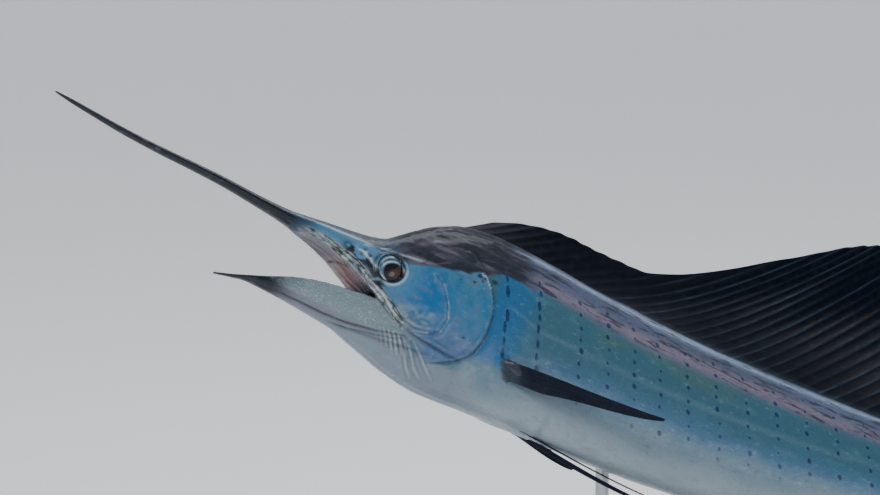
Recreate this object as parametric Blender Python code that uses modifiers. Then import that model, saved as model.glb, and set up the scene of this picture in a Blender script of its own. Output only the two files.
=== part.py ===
"""Sailfish, life size, in a rising pose, on a plain display stand.

Units are metres, +Z up, the origin is the middle of the stand's underside.
The fish heads towards -X with its left side towards -Y.

Every shape is first described in the fish's own straight frame, in
millimetres (x back from the bill, y to its right, z up from the bill's
axis), and is then carried onto the bent and banked spine by pose().
"""
import math
import bpy
import bmesh
import numpy as np
from mathutils import Vector, Matrix

# ----------------------------------------------------------------------
# driving sizes, millimetres
# ----------------------------------------------------------------------
MM = 0.001
GAP = 0.3                      # clearance between neighbouring pieces
BILL_TIP = 28.0
BILL_END = 455.0               # bill to head
HEAD_END = 812.0               # head to trunk, at the gill opening
COVER_START = 742.0            # front edge of the gill covers
COVER_INNER = 30.0             # they wrap the head outside this half width
JAW_TIP = 373.0
JAW_END = 655.0                # lower jaw to throat
TRUNK_CUTS = (812.0, 1180.0, 1580.0, 1960.0)
TAIL_END = 2292.0
EYE_X, EYE_Z, EYE_Y = 630.0, -10.0, 30.0
EYE_RADIUS, EYE_BULGE = 28.0, 15.0
PITCH, BANK = 30.57, 28.12     # head up, left side up, degrees
PLACE = (-1090.0, 60.0, 1305.0)  # where the bill's axis starts in the world
SAIL_START, SAIL_END, SAIL_RAYS = 705.0, 1870.0, 44
SAIL_THICK = 2.0
PECTORAL_LENGTH = 312.0
BASE_SIZE = (1240.0, 500.0, 24.0)
ROD_RADIUS = 11.0
ROD_STATIONS = (1105.0, 1560.0)
FLANGE_RADIUS, FLANGE_HEIGHT = 36.0, 9.0


# ----------------------------------------------------------------------
# smooth tables
# ----------------------------------------------------------------------
def smooth(pairs):
    """A smooth curve through a few (x, value) pairs, flat outside them."""
    xs = np.array([p[0] for p in pairs], float)
    ys = np.array([p[1] for p in pairs], float)
    h = np.diff(xs)
    d = np.diff(ys) / h
    m = np.empty(len(xs))
    m[0], m[-1] = d[0], d[-1]
    m[1:-1] = (d[:-1] * h[1:] + d[1:] * h[:-1]) / (h[:-1] + h[1:])
    lim = np.minimum(np.abs(d[:-1]), np.abs(d[1:]))
    lim = lim * np.where(d[:-1] * d[1:] > 0, 2.5, 1.0)
    m[1:-1] = np.clip(m[1:-1], -lim, lim)

    def f(x):
        x = np.clip(np.asarray(x, float), xs[0], xs[-1])
        i = np.clip(np.searchsorted(xs, x, side="right") - 1, 0, len(h) - 1)
        t = (x - xs[i]) / h[i]
        a, b = ys[i], ys[i + 1]
        ma, mb = m[i] * h[i], m[i + 1] * h[i]
        return (a * (2*t**3 - 3*t**2 + 1) + ma * (t**3 - 2*t**2 + t)
                + b * (3*t**2 - 2*t**3) + mb * (t**3 - t**2))
    return f


# bill: height of its middle and its half depth
BILL_MID = smooth([(28, 1.5), (95, -1.2), (160, -3.0), (220, -2.0),
                   (285, 0.8), (335, 1.8), (400, 0.6), (455, 0)])
BILL_R = smooth([(28, 1.2), (45, 2.6), (100, 4.4), (200, 6.0), (300, 7.3),
                 (375, 8.7), (430, 11.0), (455, 12.8)])
# head and trunk: back line, belly line, half width
TOP_B = smooth([(455, 13.0), (495, 19.5), (554, 30.5), (596, 40), (615, 48),
                (634, 64.5), (655, 84), (680, 104), (713, 123), (760, 137.5),
                (860, 145.5), (965, 143), (1100, 136), (1250, 127),
                (1400, 115.5), (1600, 96), (1800, 73), (2000, 48),
                (2130, 31), (2200, 28), (2265, 30), (2300, 33)])
BOT_B = smooth([(455, -12.6), (487, -14), (527, -21), (572, -37), (625, -62),
                (660, -84), (700, -104), (750, -122), (800, -134),
                (850, -141), (950, -142), (1100, -137), (1300, -126),
                (1500, -109), (1700, -86), (1850, -67), (2000, -48),
                (2130, -31), (2200, -28), (2265, -30), (2300, -33)])
HALF_B = smooth([(455, 15.5), (487, 22), (527, 28), (572, 34), (625, 41),
                 (660, 47), (700, 53), (760, 60), (820, 64.5), (900, 67),
                 (1000, 67), (1200, 63), (1400, 56), (1600, 47), (1800, 36),
                 (2000, 24), (2130, 16.5), (2200, 14), (2265, 11), (2300, 8)])
# how square the lower half of a section is: 2 is an ellipse
SQUARE = smooth([(455, 2.0), (520, 3.2), (600, 3.6), (650, 3.0), (720, 2.2),
                 (2300, 2.0)])
# lower jaw and throat, dropped with the mouth open
JAW_TOP = smooth([(373, -141.5), (400, -131), (441, -113.5), (502, -86),
                  (577, -67), (625, -60), (700, -58), (812, -60)])
THROAT = smooth([(373, -143.5), (400, -136), (435, -128.5), (500, -128),
                 (585, -131.5), (650, -146), (705, -157), (750, -160),
                 (800, -156), (850, -150), (900, -145), (950, -142)])
JAW_HALF = smooth([(373, 1.6), (400, 5.5), (441, 12), (502, 20), (577, 30),
                   (640, 39), (700, 46), (760, 50), (812, 50)])
# lateral and upward bend of the spine, degrees
SIDE_BEND = smooth([(850, 0), (1200, 7.0), (1600, 16), (2000, 24), (2300, 28)])
RISE_BEND = smooth([(850, 0), (1050, 2.2), (1300, 6.0), (1700, 8.5),
                    (2300, 8.5)])
# the raised fin: length, backward sweep and sideways lean of its rays
SAIL_LEN = smooth([(705, 150), (740, 166), (770, 156), (800, 147), (850, 147),
                   (900, 161), (940, 196), (970, 285), (1000, 395), (1040, 492),
                   (1090, 540), (1150, 552), (1230, 540), (1320, 500),
                   (1420, 440), (1520, 375), (1620, 305), (1720, 230),
                   (1800, 155), (1850, 92), (1870, 48)])
SAIL_SWEEP = smooth([(705, 32), (780, 35), (900, 37), (1000, 40), (1100, 43),
                     (1200, 46.5), (1350, 49), (1500, 47), (1700, 40),
                     (1870, 32)])
SAIL_LEAN0 = smooth([(705, 22), (850, 28), (950, 38), (1030, 47), (1200, 48),
                     (1500, 40), (1870, 24)])
SAIL_LEAN1 = smooth([(705, 10), (850, 14), (1000, 15), (1200, 12), (1870, 12)])


def top(x):
    x = np.asarray(x, float)
    return np.where(x < BILL_END, BILL_MID(x) + BILL_R(x), TOP_B(x))


def bottom(x):
    x = np.asarray(x, float)
    low = np.where(x < BILL_END, BILL_MID(x) - BILL_R(x), BOT_B(x))
    return np.where((x > HEAD_END) & (x < 950), np.minimum(low, THROAT(x)), low)


def half(x):
    x = np.asarray(x, float)
    return np.where(x < BILL_END, BILL_R(x) * 1.18, HALF_B(x))


# ----------------------------------------------------------------------
# the spine
# ----------------------------------------------------------------------
SPINE_STEP = 5.0


def make_spine(length=2800.0):
    p, r = math.radians(PITCH), math.radians(BANK)
    t = np.array([math.cos(p), 0.0, -math.sin(p)])
    z0 = np.array([math.sin(p), 0.0, math.cos(p)])
    y0 = np.array([0.0, 1.0, 0.0])
    nz = math.cos(r) * z0 + math.sin(r) * y0
    ny = math.cos(r) * y0 - math.sin(r) * z0
    c = np.array(PLACE, float)
    rows = [(c.copy(), t.copy(), ny.copy(), nz.copy())]
    for i in range(1, int(length / SPINE_STEP) + 1):
        a, b = (i - 1) * SPINE_STEP, i * SPINE_STEP
        ds = math.radians(float(SIDE_BEND(b) - SIDE_BEND(a)))
        dr = math.radians(float(RISE_BEND(b) - RISE_BEND(a)))
        c = c + t * SPINE_STEP * 0.5
        t = t - ds * ny + dr * nz
        t /= np.linalg.norm(t)
        ny = ny - t * (ny @ t)
        ny /= np.linalg.norm(ny)
        nz = np.cross(t, ny)
        c = c + t * SPINE_STEP * 0.5
        rows.append((c.copy(), t.copy(), ny.copy(), nz.copy()))
    return np.array(rows)


SPINE = make_spine()


def pose(points):
    """Points of the straight fish, in millimetres, to the world in metres."""
    p = np.atleast_2d(np.asarray(points, float))
    x = np.clip(p[:, 0], 0, SPINE_STEP * (len(SPINE) - 1) - 1e-6)
    i = (x / SPINE_STEP).astype(int)
    t = (x / SPINE_STEP - i)[:, None]
    a, b = SPINE[i], SPINE[i + 1]
    row = a * (1 - t[:, :, None]) + b * t[:, :, None]
    out = (row[:, 0] + row[:, 1] * (p[:, :1] - x[:, None])
           + row[:, 2] * p[:, 1:2] + row[:, 3] * p[:, 2:3])
    return out * MM


# ----------------------------------------------------------------------
# building helpers
# ----------------------------------------------------------------------
def material(name, colour, rough, metal=0.0):
    m = bpy.data.materials.new(name)
    m.use_nodes = True
    b = m.node_tree.nodes["Principled BSDF"]
    b.inputs["Base Color"].default_value = (*colour, 1.0)
    b.inputs["Roughness"].default_value = rough
    b.inputs["Metallic"].default_value = metal
    m.diffuse_color = (*colour, 1.0)
    return m


def from_bmesh(name, bm, mat, coll, smooth_shade=True):
    bmesh.ops.recalc_face_normals(bm, faces=bm.faces)
    if bm.calc_volume(signed=True) < 0:
        bmesh.ops.reverse_faces(bm, faces=bm.faces)
    me = bpy.data.meshes.new(name)
    bm.to_mesh(me)
    bm.free()
    ob = bpy.data.objects.new(name, me)
    coll.objects.link(ob)
    if mat:
        me.materials.append(mat)
    if smooth_shade:
        me.shade_smooth()
        me.set_sharp_from_angle(angle=math.radians(50))
    return ob


def loft(name, rings, mat, coll, tip_start=None, tip_end=None):
    """A closed solid through rings of equal length, with flat or pointed ends.

    Neighbouring rings differ in shape, so the walls are laid ring to ring."""
    bm = bmesh.new()
    loops = []
    for ring in rings:
        loops.append([bm.verts.new(p) for p in pose(ring)])
    n = len(loops[0])
    for a, b in zip(loops[:-1], loops[1:]):
        for i in range(n):
            j = (i + 1) % n
            bm.faces.new((a[i], a[j], b[j], b[i]))
    for loop, tip in ((loops[0], tip_start), (loops[-1], tip_end)):
        if tip is None:
            bm.faces.new(loop)
        else:
            v = bm.verts.new(pose([tip])[0])
            for i in range(n):
                bm.faces.new((loop[i], loop[(i + 1) % n], v))
    bmesh.ops.triangulate(bm, faces=[f for f in bm.faces if len(f.verts) > 4])
    return from_bmesh(name, bm, mat, coll)


def section(x, n=24, grow=0.0, vault=0.0):
    """One cross-section of the body as a ring of points."""
    t, b, w = float(top(x)) + grow, float(bottom(x)) - grow, float(half(x)) + grow
    zc = t * 0.42 + b * 0.58
    e = float(SQUARE(x))
    ring = []
    for k in range(n):
        a = 2 * math.pi * (k + 0.5) / n
        c, s = math.cos(a), math.sin(a)
        if s > 0:
            y, z = w * c, zc + (t - zc) * s
        else:
            y = w * math.copysign(abs(c) ** (2.0 / e), c)
            z = zc - (zc - b) * abs(s) ** (2.0 / e)
            inner = 0.78 * w
            if vault and abs(y) < inner:
                z += vault * (1 - (y / inner) ** 2)
        ring.append((x, y, z))
    return ring


def stations(x0, x1, step):
    n = max(2, int(round((x1 - x0) / step)) + 1)
    return [x0 + (x1 - x0) * i / (n - 1) for i in range(n)]


def jaw_section(x, n=20, grow=0.0):
    t, b, w = float(JAW_TOP(x)), float(THROAT(x)), float(JAW_HALF(x))
    zc = t * 0.72 + b * 0.28
    ring = []
    for k in range(n):
        a = 2 * math.pi * (k + 0.5) / n
        c, s = math.cos(a), math.sin(a)
        if s > 0:
            y = w * math.copysign(abs(c) ** 0.5, c)
            z = zc + (t - zc) * abs(s) ** 0.5
        else:
            y, z = w * c, zc - (zc - b) * abs(s)
        ring.append((x, y, z))
    return ring


def cut(ob, cutter, op="DIFFERENCE"):
    m = ob.modifiers.new("cut_" + cutter.name, "BOOLEAN")
    m.operation = op
    m.object = cutter
    m.solver = "EXACT"
    return m


def settle(ob, mat):
    """Make the object's modifiers part of its mesh."""
    dg = bpy.context.evaluated_depsgraph_get()
    me = bpy.data.meshes.new_from_object(ob.evaluated_get(dg))
    ob.modifiers.clear()
    ob.data = me
    if mat and not me.materials:
        me.materials.append(mat)
    bm = bmesh.new()
    bm.from_mesh(me)
    bmesh.ops.remove_doubles(bm, verts=bm.verts, dist=2e-6)
    bmesh.ops.dissolve_degenerate(bm, edges=bm.edges, dist=2e-6)
    bm.to_mesh(me)
    bm.free()
    me.shade_smooth()
    me.set_sharp_from_angle(angle=math.radians(50))
    return ob


def keep_side(name, src, point, normal, mat, coll):
    """The part of a solid on the side that the normal points to."""
    bm = bmesh.new()
    bm.from_mesh(src.data)
    geo = bm.verts[:] + bm.edges[:] + bm.faces[:]
    bmesh.ops.bisect_plane(bm, geom=geo, plane_co=Vector(point),
                           plane_no=Vector(normal), clear_inner=True,
                           dist=1e-6)
    edges = [e for e in bm.edges if e.is_boundary]
    bmesh.ops.holes_fill(bm, edges=edges, sides=0)
    bmesh.ops.triangulate(bm, faces=[f for f in bm.faces if len(f.verts) > 4])
    return from_bmesh(name, bm, mat, coll)


def spine_plane(x, offset):
    """A plane across the body at station x, moved along it by offset."""
    p = pose([(x + offset, 0, 0), (x + offset + 1.0, 0, 0)])
    d = p[1] - p[0]
    return p[0], d / np.linalg.norm(d)


def sheet(name, grid, thick, mat, coll):
    """A fin membrane: a grid of points made solid by a Solidify modifier."""
    rows, cols = len(grid), len(grid[0])
    bm = bmesh.new()
    flat = pose([p for row in grid for p in row])
    v = [bm.verts.new(p) for p in flat]
    for i in range(rows - 1):
        for j in range(cols - 1):
            bm.faces.new((v[i*cols + j], v[(i+1)*cols + j],
                          v[(i+1)*cols + j+1], v[i*cols + j+1]))
    ob = from_bmesh(name, bm, mat, coll)
    m = ob.modifiers.new("thickness", "SOLIDIFY")
    m.thickness = thick * MM
    m.offset = 0.0
    m.use_even_offset = False
    return ob


def ray_points(x, length, sweep, lean0, lean1, root, n):
    """Points along one ray of the raised fin, from under the skin outward."""
    z = float(top(x)) - root
    p = np.array([x, 0.0, z])
    la = math.radians(lean0)
    ph = math.radians(sweep)
    out = [tuple(p)]
    total = length + root / math.sin(ph)
    ds = total / n
    for i in range(n):
        s = min((i + 0.5) * ds / 400.0, 1.3)
        la = math.radians(lean0 + (lean1 - lean0) * s)
        p = p + ds * np.array([math.cos(ph), math.sin(ph) * math.sin(la),
                               math.sin(ph) * math.cos(la)])
        out.append(tuple(p))
    return out


# ----------------------------------------------------------------------
# the fish
# ----------------------------------------------------------------------
def build():
    for ob in list(bpy.data.objects):
        bpy.data.objects.remove(ob)
    coll = bpy.data.collections.new("sailfish")
    cutters = bpy.data.collections.new("cutters")
    for c in (coll, cutters):
        bpy.context.scene.collection.children.link(c)

    m_bill = material("bill_black", (0.018, 0.024, 0.034), 0.32)
    m_blue = material("flank_blue", (0.055, 0.20, 0.36), 0.28)
    m_jaw = material("jaw_grey", (0.30, 0.35, 0.36), 0.35)
    m_fin = material("fin_navy", (0.012, 0.020, 0.045), 0.35)
    m_eye = material("eye_dark", (0.02, 0.012, 0.010), 0.08)
    m_base = material("stand_base_grey", (0.23, 0.235, 0.24), 0.55)
    m_rod = material("stand_rod_steel", (0.62, 0.63, 0.65), 0.28, 1.0)

    # ---- whole body, a little too big, to cut what roots in it
    head_x = stations(BILL_END + GAP / 2, COVER_START - GAP / 2, 19)
    rear_x = stations(COVER_START + GAP / 2, HEAD_END - GAP / 2, 23)
    cuts = list(TRUNK_CUTS) + [TAIL_END]
    trunk_x = [stations(cuts[i] + GAP / 2, cuts[i + 1] - GAP / 2,
                        58 if i < 3 else 30) for i in range(4)]
    xs = head_x + rear_x[1:]
    for i, run in enumerate(trunk_x):
        xs = xs + run[min(i, 1):]
    xs[-1] += GAP
    grown = loft("body_cutter", [section(x, 26, GAP) for x in xs], None,
                 cutters)
    grown.hide_render = True
    grown.display_type = "WIRE"

    # ---- bill
    bill_x = [BILL_TIP, 33, 42, 60, 100, 160, 220, 285, 335, 375, 410, 435,
              BILL_END - GAP / 2]
    loft("bill", [section(x, 16) for x in bill_x], m_bill, coll)

    # ---- head, with the eye sockets cut out
    eyes = {}
    for side, sy in (("left", -1), ("right", 1)):
        for grow, target in ((GAP, cutters), (0.0, coll)):
            bm = bmesh.new()
            bmesh.ops.create_uvsphere(bm, u_segments=20, v_segments=9,
                                      radius=1.0)
            r, b = EYE_RADIUS + grow, EYE_BULGE + grow
            for v in bm.verts:
                v.co = Vector((v.co.x * r, v.co.z * b * sy, v.co.y * r))
            name = "eye_" + side + ("_cutter" if grow else "")
            ob = from_bmesh(name, bm, m_eye, target)
            frame = pose([(EYE_X, sy * EYE_Y, EYE_Z), (EYE_X + 1, sy * EYE_Y, EYE_Z),
                          (EYE_X, sy * EYE_Y + 1, EYE_Z),
                          (EYE_X, sy * EYE_Y, EYE_Z + 1)])
            axes = [(frame[k] - frame[0]) / np.linalg.norm(frame[k] - frame[0])
                    for k in (1, 2, 3)]
            # the sphere is in millimetres around the eye's own axes
            rot = Matrix([[axes[c][r_] for c in range(3)] for r_ in range(3)])
            for v in ob.data.vertices:
                v.co = v.co * MM
            ob.matrix_world = Matrix.Translation(Vector(frame[0])) @ rot.to_4x4()
            if grow:
                ob.hide_render = True
                ob.display_type = "WIRE"
            eyes[(side, bool(grow))] = ob

    vault = smooth([(470, 0), (510, 6), (560, 10), (620, 9), (652, 0)])
    head = loft("head", [section(x, 26, 0.0, float(vault(x)) if 470 < x < 652
                                 else 0.0) for x in head_x], m_blue, coll)
    for side in ("left", "right"):
        cut(head, eyes[(side, True)])
    settle(head, m_blue)

    # ---- back of the head: gill covers round a middle piece
    rear = loft("rear_tool", [section(x, 26) for x in rear_x], None, cutters)
    rear.hide_render = True
    rear.display_type = "WIRE"
    p = pose([(780, 0, 0), (780, 1, 0)])
    ny = (p[1] - p[0]) / np.linalg.norm(p[1] - p[0])
    inner = COVER_INNER * MM
    half_gap = GAP * MM / 2
    keep_side("gill_cover_right", rear, p[0] + ny * (inner + half_gap), ny,
              m_blue, coll)
    keep_side("gill_cover_left", rear, p[0] - ny * (inner + half_gap), -ny,
              m_blue, coll)
    mid = keep_side("nape_half", rear, p[0] - ny * (inner - half_gap), ny,
                    m_blue, cutters)
    mid.hide_render = True
    mid.display_type = "WIRE"
    keep_side("nape", mid, p[0] + ny * (inner - half_gap), -ny, m_blue, coll)

    # ---- lower jaw and throat, cut where they meet the head
    jaw_x = ([JAW_TIP, 380, 390, 405] + stations(425, JAW_END, 23)
             + stations(JAW_END + 20, HEAD_END - GAP / 2, 22))
    jaw = loft("jaw_tool", [jaw_section(x) for x in jaw_x], m_jaw, cutters)
    cut(jaw, grown)
    settle(jaw, m_jaw)
    jaw.hide_render = True
    jaw.display_type = "WIRE"
    pt, d = spine_plane(JAW_END, -GAP / 2)
    keep_side("lower_jaw", jaw, pt, -d, m_jaw, coll)
    pt, d = spine_plane(JAW_END, GAP / 2)
    keep_side("throat", jaw, pt, d, m_jaw, coll)

    # ---- trunk and tail stalk
    names = ("trunk_front", "trunk_middle", "trunk_rear", "tail_stalk")
    for name, run in zip(names, trunk_x):
        loft(name, [section(x, 26) for x in run], m_blue, coll)

    # ---- the raised fin
    xs = stations(SAIL_START, SAIL_END, (SAIL_END - SAIL_START)
                  / (SAIL_RAYS - 1))
    grid = [ray_points(x, float(SAIL_LEN(x)), float(SAIL_SWEEP(x)),
                       float(SAIL_LEAN0(x)), float(SAIL_LEAN1(x)), 7.0, 7)
            for x in xs]
    sail = sheet("dorsal_sail", grid, SAIL_THICK, m_fin, coll)
    cut(sail, grown)

    # ---- small fins on the midline: root line, then tips
    def fin(name, x0, x1, sign, height, sweep, n, m, thick=2.2, trail=0.0):
        rows = []
        for i in range(n):
            u = i / (n - 1)
            x = x0 + (x1 - x0) * u
            edge = top if sign > 0 else bottom
            z = float(edge(x)) - sign * 6.0
            h = height(u)
            row = []
            for j in range(m):
                v = j / (m - 1)
                dx = (h * math.cos(math.radians(sweep(u)))
                      + trail * u * v) * v
                dz = (h * math.sin(math.radians(sweep(u))) + 6.0) * v
                row.append((x + dx, 0.0, z + sign * dz))
            rows.append(row)
        ob = sheet(name, rows, thick, m_fin, coll)
        cut(ob, grown)
        return ob

    anal_h = smooth([(0, 118), (0.12, 122), (0.35, 62), (0.7, 34), (1, 22)])
    anal_s = smooth([(0, 52), (0.3, 46), (1, 30)])
    fin("anal_fin_first", 1640, 1800, -1, lambda u: float(anal_h(u)),
        lambda u: float(anal_s(u)), 11, 6)
    small_h = smooth([(0, 52), (0.3, 50), (0.7, 46), (1, 58)])
    small_s = smooth([(0, 50), (0.6, 36), (1, 18)])
    fin("second_dorsal_fin", 1985, 2055, 1, lambda u: float(small_h(u)),
        lambda u: float(small_s(u)), 7, 4, 2.0)
    fin("anal_fin_second", 1972, 2042, -1, lambda u: float(small_h(u)),
        lambda u: float(small_s(u)), 7, 4, 2.0)

    # ---- paired fins
    for side, sy in (("left", -1), ("right", 1)):
        # pectoral: sickle blade swung out from the side
        out = math.radians(26.0)
        rows = []
        n, m = 12, 5
        for i in range(n):
            u = i / (n - 1)
            lead = PECTORAL_LENGTH * u
            f = min(u / 0.24, 1.0)
            base = 1 - f * f * (3 - 2 * f)
            chord = ((62.0 * (1 - u) ** 0.85 * (1 - 0.25 * math.sin(math.pi * u)) + 2.5)
                     * (1 - 0.42 * base))
            row = []
            for j in range(m):
                v = j / (m - 1)
                x = 826 + lead * math.cos(out) + chord * v * 0.30
                y = 51.0 + lead * math.sin(out) + chord * v * (0.18 - 0.56 * base)
                z = -64.0 - 24.0 * math.sin(math.pi * u * 0.5) * u - chord * v * 0.93
                row.append((x, sy * y, z))
            rows.append(row)
        ob = sheet("pectoral_fin_" + side, rows, 2.4, m_fin, coll)
        cut(ob, grown)
        # pelvic: a long narrow ribbon of a few joined rays
        rows = []
        n, m = 16, 3
        for i in range(n):
            u = i / (n - 1)
            wide = 9.0 * (1 - u) ** 0.7 + 2.2
            off = 6.0 + 13.0 * math.sin(math.pi * 0.5 * u)
            x = 893 + 440.0 * u
            z = -138.0 - 34.0 * math.sin(math.pi * 0.62 * u) / math.sin(math.pi * 0.62) * u ** 0.6 + 16 * u * u
            row = []
            for j in range(m):
                v = j / (m - 1) - 0.5
                row.append((x, sy * (off + wide * v), z - wide * v * 0.5))
            rows.append(row)
        ob = sheet("pelvic_fin_" + side, rows, 2.0, m_fin, coll)
        cut(ob, grown)

    # ---- tail fin: two narrow blades
    for lobe, sz in (("upper", 1), ("lower", -1)):
        rings = []
        n = 13
        for i in range(n):
            u = i / (n - 1)
            ang = math.radians(62.0 - 8.0 * u)
            # leading edge curve of the lobe
            lead_x = 2236.0 + 175.0 * u + 60.0 * u * u
            lead_z = 24.0 + 364.0 * (u ** 0.92)
            chord = 66.0 * (1 - u) ** 0.72 + 6.0
            if u < 0.12:
                chord += 22.0 * (0.12 - u) / 0.12
            thick = 11.0 * (1 - u) ** 1.2 + 2.6
            ring = []
            k_n = 12
            for k in range(k_n):
                a = 2 * math.pi * (k + 0.5) / k_n
                cx = (1 - math.cos(a)) / 2
                cy = math.sin(a) * thick / 2 * (1 - 0.55 * cx)
                nx, nz = math.sin(ang), -math.cos(ang)
                ring.append((lead_x + chord * cx * nx, cy,
                             sz * max(0.4 + 0.2 * cx, lead_z + chord * cx * nz)))
            rings.append(ring)
        ob = loft("caudal_fin_" + lobe, rings, m_fin, coll)
        cut(ob, grown)

    # ---- stand
    bm = bmesh.new()
    bmesh.ops.create_cube(bm, size=1.0)
    for v in bm.verts:
        v.co = Vector((v.co.x * BASE_SIZE[0], v.co.y * BASE_SIZE[1],
                       v.co.z * BASE_SIZE[2])) * MM
    base = from_bmesh("stand_base", bm, m_base, coll, False)
    base.location = (0, 0, BASE_SIZE[2] / 2 * MM)
    corner = base.modifiers.new("corners", "BEVEL")
    corner.width = 4 * MM
    corner.segments = 3
    corner.limit_method = "ANGLE"
    for name, x, side_y in (("front", ROD_STATIONS[0], 0.66),
                            ("rear", ROD_STATIONS[1], 0.50)):
        # the rod meets the under side of the right flank
        under = [q for q in section(x, 144) if q[2] < 0]
        target = side_y * float(half(x))
        low = pose([min(under, key=lambda q: abs(q[1] - target))])[0]
        z0 = (BASE_SIZE[2] + GAP) * MM
        z1 = z0 + FLANGE_HEIGHT * MM
        bm = bmesh.new()
        bmesh.ops.create_cone(bm, cap_ends=True, segments=28,
                              radius1=FLANGE_RADIUS * MM,
                              radius2=FLANGE_RADIUS * MM * 0.86,
                              depth=z1 - z0)
        fl = from_bmesh("stand_flange_" + name, bm, m_rod, coll)
        fl.location = (low[0], low[1], (z0 + z1) / 2)
        z2 = z1 + GAP * MM
        z3 = low[2] + 0.03
        bm = bmesh.new()
        bmesh.ops.create_cone(bm, cap_ends=True, segments=20,
                              radius1=ROD_RADIUS * MM, radius2=ROD_RADIUS * MM,
                              depth=z3 - z2)
        rod = from_bmesh("stand_rod_" + name, bm, m_rod, coll)
        rod.location = (low[0], low[1], (z2 + z3) / 2)
        cut(rod, grown)


build()
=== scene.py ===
"""Looks of the sailfish: one skin, eyes, fins, stand, floor, light, camera.

Shapes are made in the fish's own straight frame, in millimetres (x back from
the bill, y to its right, z up from the bill's axis), and carried onto the
bent, banked spine by pose().
"""
import math
import bpy
import numpy as np
from mathutils import Matrix, Vector


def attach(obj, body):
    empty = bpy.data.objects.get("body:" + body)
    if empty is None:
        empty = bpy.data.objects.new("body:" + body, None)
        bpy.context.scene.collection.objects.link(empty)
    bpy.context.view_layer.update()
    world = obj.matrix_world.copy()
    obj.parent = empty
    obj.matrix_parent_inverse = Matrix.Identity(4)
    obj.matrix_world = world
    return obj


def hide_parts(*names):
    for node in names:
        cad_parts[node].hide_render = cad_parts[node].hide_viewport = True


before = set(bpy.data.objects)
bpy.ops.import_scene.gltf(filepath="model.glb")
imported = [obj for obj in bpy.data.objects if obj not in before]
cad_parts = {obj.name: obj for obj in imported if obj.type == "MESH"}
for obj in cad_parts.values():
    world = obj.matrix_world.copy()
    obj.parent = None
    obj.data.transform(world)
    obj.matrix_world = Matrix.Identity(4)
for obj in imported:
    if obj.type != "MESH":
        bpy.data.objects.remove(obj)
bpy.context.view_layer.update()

MM = 0.001

# ----------------------------------------------------------------------
# sizes shared with the solids, millimetres
# ----------------------------------------------------------------------
BILL_TIP, BILL_END = 28.0, 455.0
HEAD_END = 812.0
TAIL_END = 2292.0
TONGUE_END = 2308.0              # the stalk's flesh runs out on the tail fin
EYE_X, EYE_Z, EYE_Y = 630.0, -10.0, 30.0
EYE_RADIUS, EYE_BULGE = 28.0, 15.0
PITCH, BANK = 30.57, 28.12
PLACE = (-1090.0, 60.0, 1305.0)
SAIL_START, SAIL_END, SAIL_RAYS = 705.0, 1870.0, 44
PECTORAL_LENGTH = 312.0


def smooth(pairs):
    """A smooth curve through a few (x, value) pairs, flat outside them."""
    xs = np.array([p[0] for p in pairs], float)
    ys = np.array([p[1] for p in pairs], float)
    h = np.diff(xs)
    d = np.diff(ys) / h
    m = np.empty(len(xs))
    m[0], m[-1] = d[0], d[-1]
    m[1:-1] = (d[:-1] * h[1:] + d[1:] * h[:-1]) / (h[:-1] + h[1:])
    lim = np.minimum(np.abs(d[:-1]), np.abs(d[1:]))
    lim = lim * np.where(d[:-1] * d[1:] > 0, 2.5, 1.0)
    m[1:-1] = np.clip(m[1:-1], -lim, lim)

    def f(x):
        x = np.clip(np.asarray(x, float), xs[0], xs[-1])
        i = np.clip(np.searchsorted(xs, x, side="right") - 1, 0, len(h) - 1)
        t = (x - xs[i]) / h[i]
        a, b = ys[i], ys[i + 1]
        ma, mb = m[i] * h[i], m[i + 1] * h[i]
        return (a * (2*t**3 - 3*t**2 + 1) + ma * (t**3 - 2*t**2 + t)
                + b * (3*t**2 - 2*t**3) + mb * (t**3 - t**2))
    return f


BILL_MID = smooth([(28, 1.5), (95, -1.2), (160, -3.0), (220, -2.0),
                   (285, 0.8), (335, 1.8), (400, 0.6), (455, 0)])
BILL_R = smooth([(28, 1.2), (45, 2.6), (100, 4.4), (200, 6.0), (300, 7.3),
                 (375, 8.7), (430, 11.0), (455, 12.8)])
TOP_B = smooth([(455, 13.0), (495, 19.5), (554, 30.5), (596, 40), (615, 48),
                (634, 64.5), (655, 84), (680, 104), (713, 123), (760, 137.5),
                (860, 145.5), (965, 143), (1100, 136), (1250, 127),
                (1400, 115.5), (1600, 96), (1800, 73), (2000, 48),
                (2130, 31), (2200, 28), (2265, 30), (2300, 33)])
BOT_B = smooth([(455, -12.6), (487, -14), (527, -21), (572, -37), (625, -62),
                (660, -84), (700, -104), (750, -122), (800, -134),
                (850, -141), (950, -142), (1100, -137), (1300, -126),
                (1500, -109), (1700, -86), (1850, -67), (2000, -48),
                (2130, -31), (2200, -28), (2265, -30), (2300, -33)])
HALF_B = smooth([(455, 15.5), (487, 22), (527, 28), (572, 34), (625, 41),
                 (660, 47), (700, 53), (760, 60), (820, 64.5), (900, 67),
                 (1000, 67), (1200, 63), (1400, 56), (1600, 47), (1800, 36),
                 (2000, 24), (2130, 16.5), (2200, 14), (2265, 11), (2300, 8)])
JAW_TOP = smooth([(373, -140.7), (400, -131), (441, -113.5), (502, -86),
                  (577, -67), (625, -60), (700, -58), (812, -60)])
THROAT = smooth([(373, -144.3), (400, -136), (435, -128.5), (500, -128),
                 (585, -131.5), (650, -146), (705, -157), (750, -160),
                 (800, -156), (850, -150), (900, -145), (950, -142)])
JAW_HALF = smooth([(373, 2.6), (400, 5.5), (441, 12), (502, 20), (577, 30),
                   (640, 39), (700, 46), (760, 50), (812, 50)])
SIDE_BEND = smooth([(850, 0), (1200, 7.0), (1600, 16), (2000, 24), (2300, 28)])
RISE_BEND = smooth([(850, 0), (1050, 2.2), (1300, 6.0), (1700, 8.5),
                    (2300, 8.5)])
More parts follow.
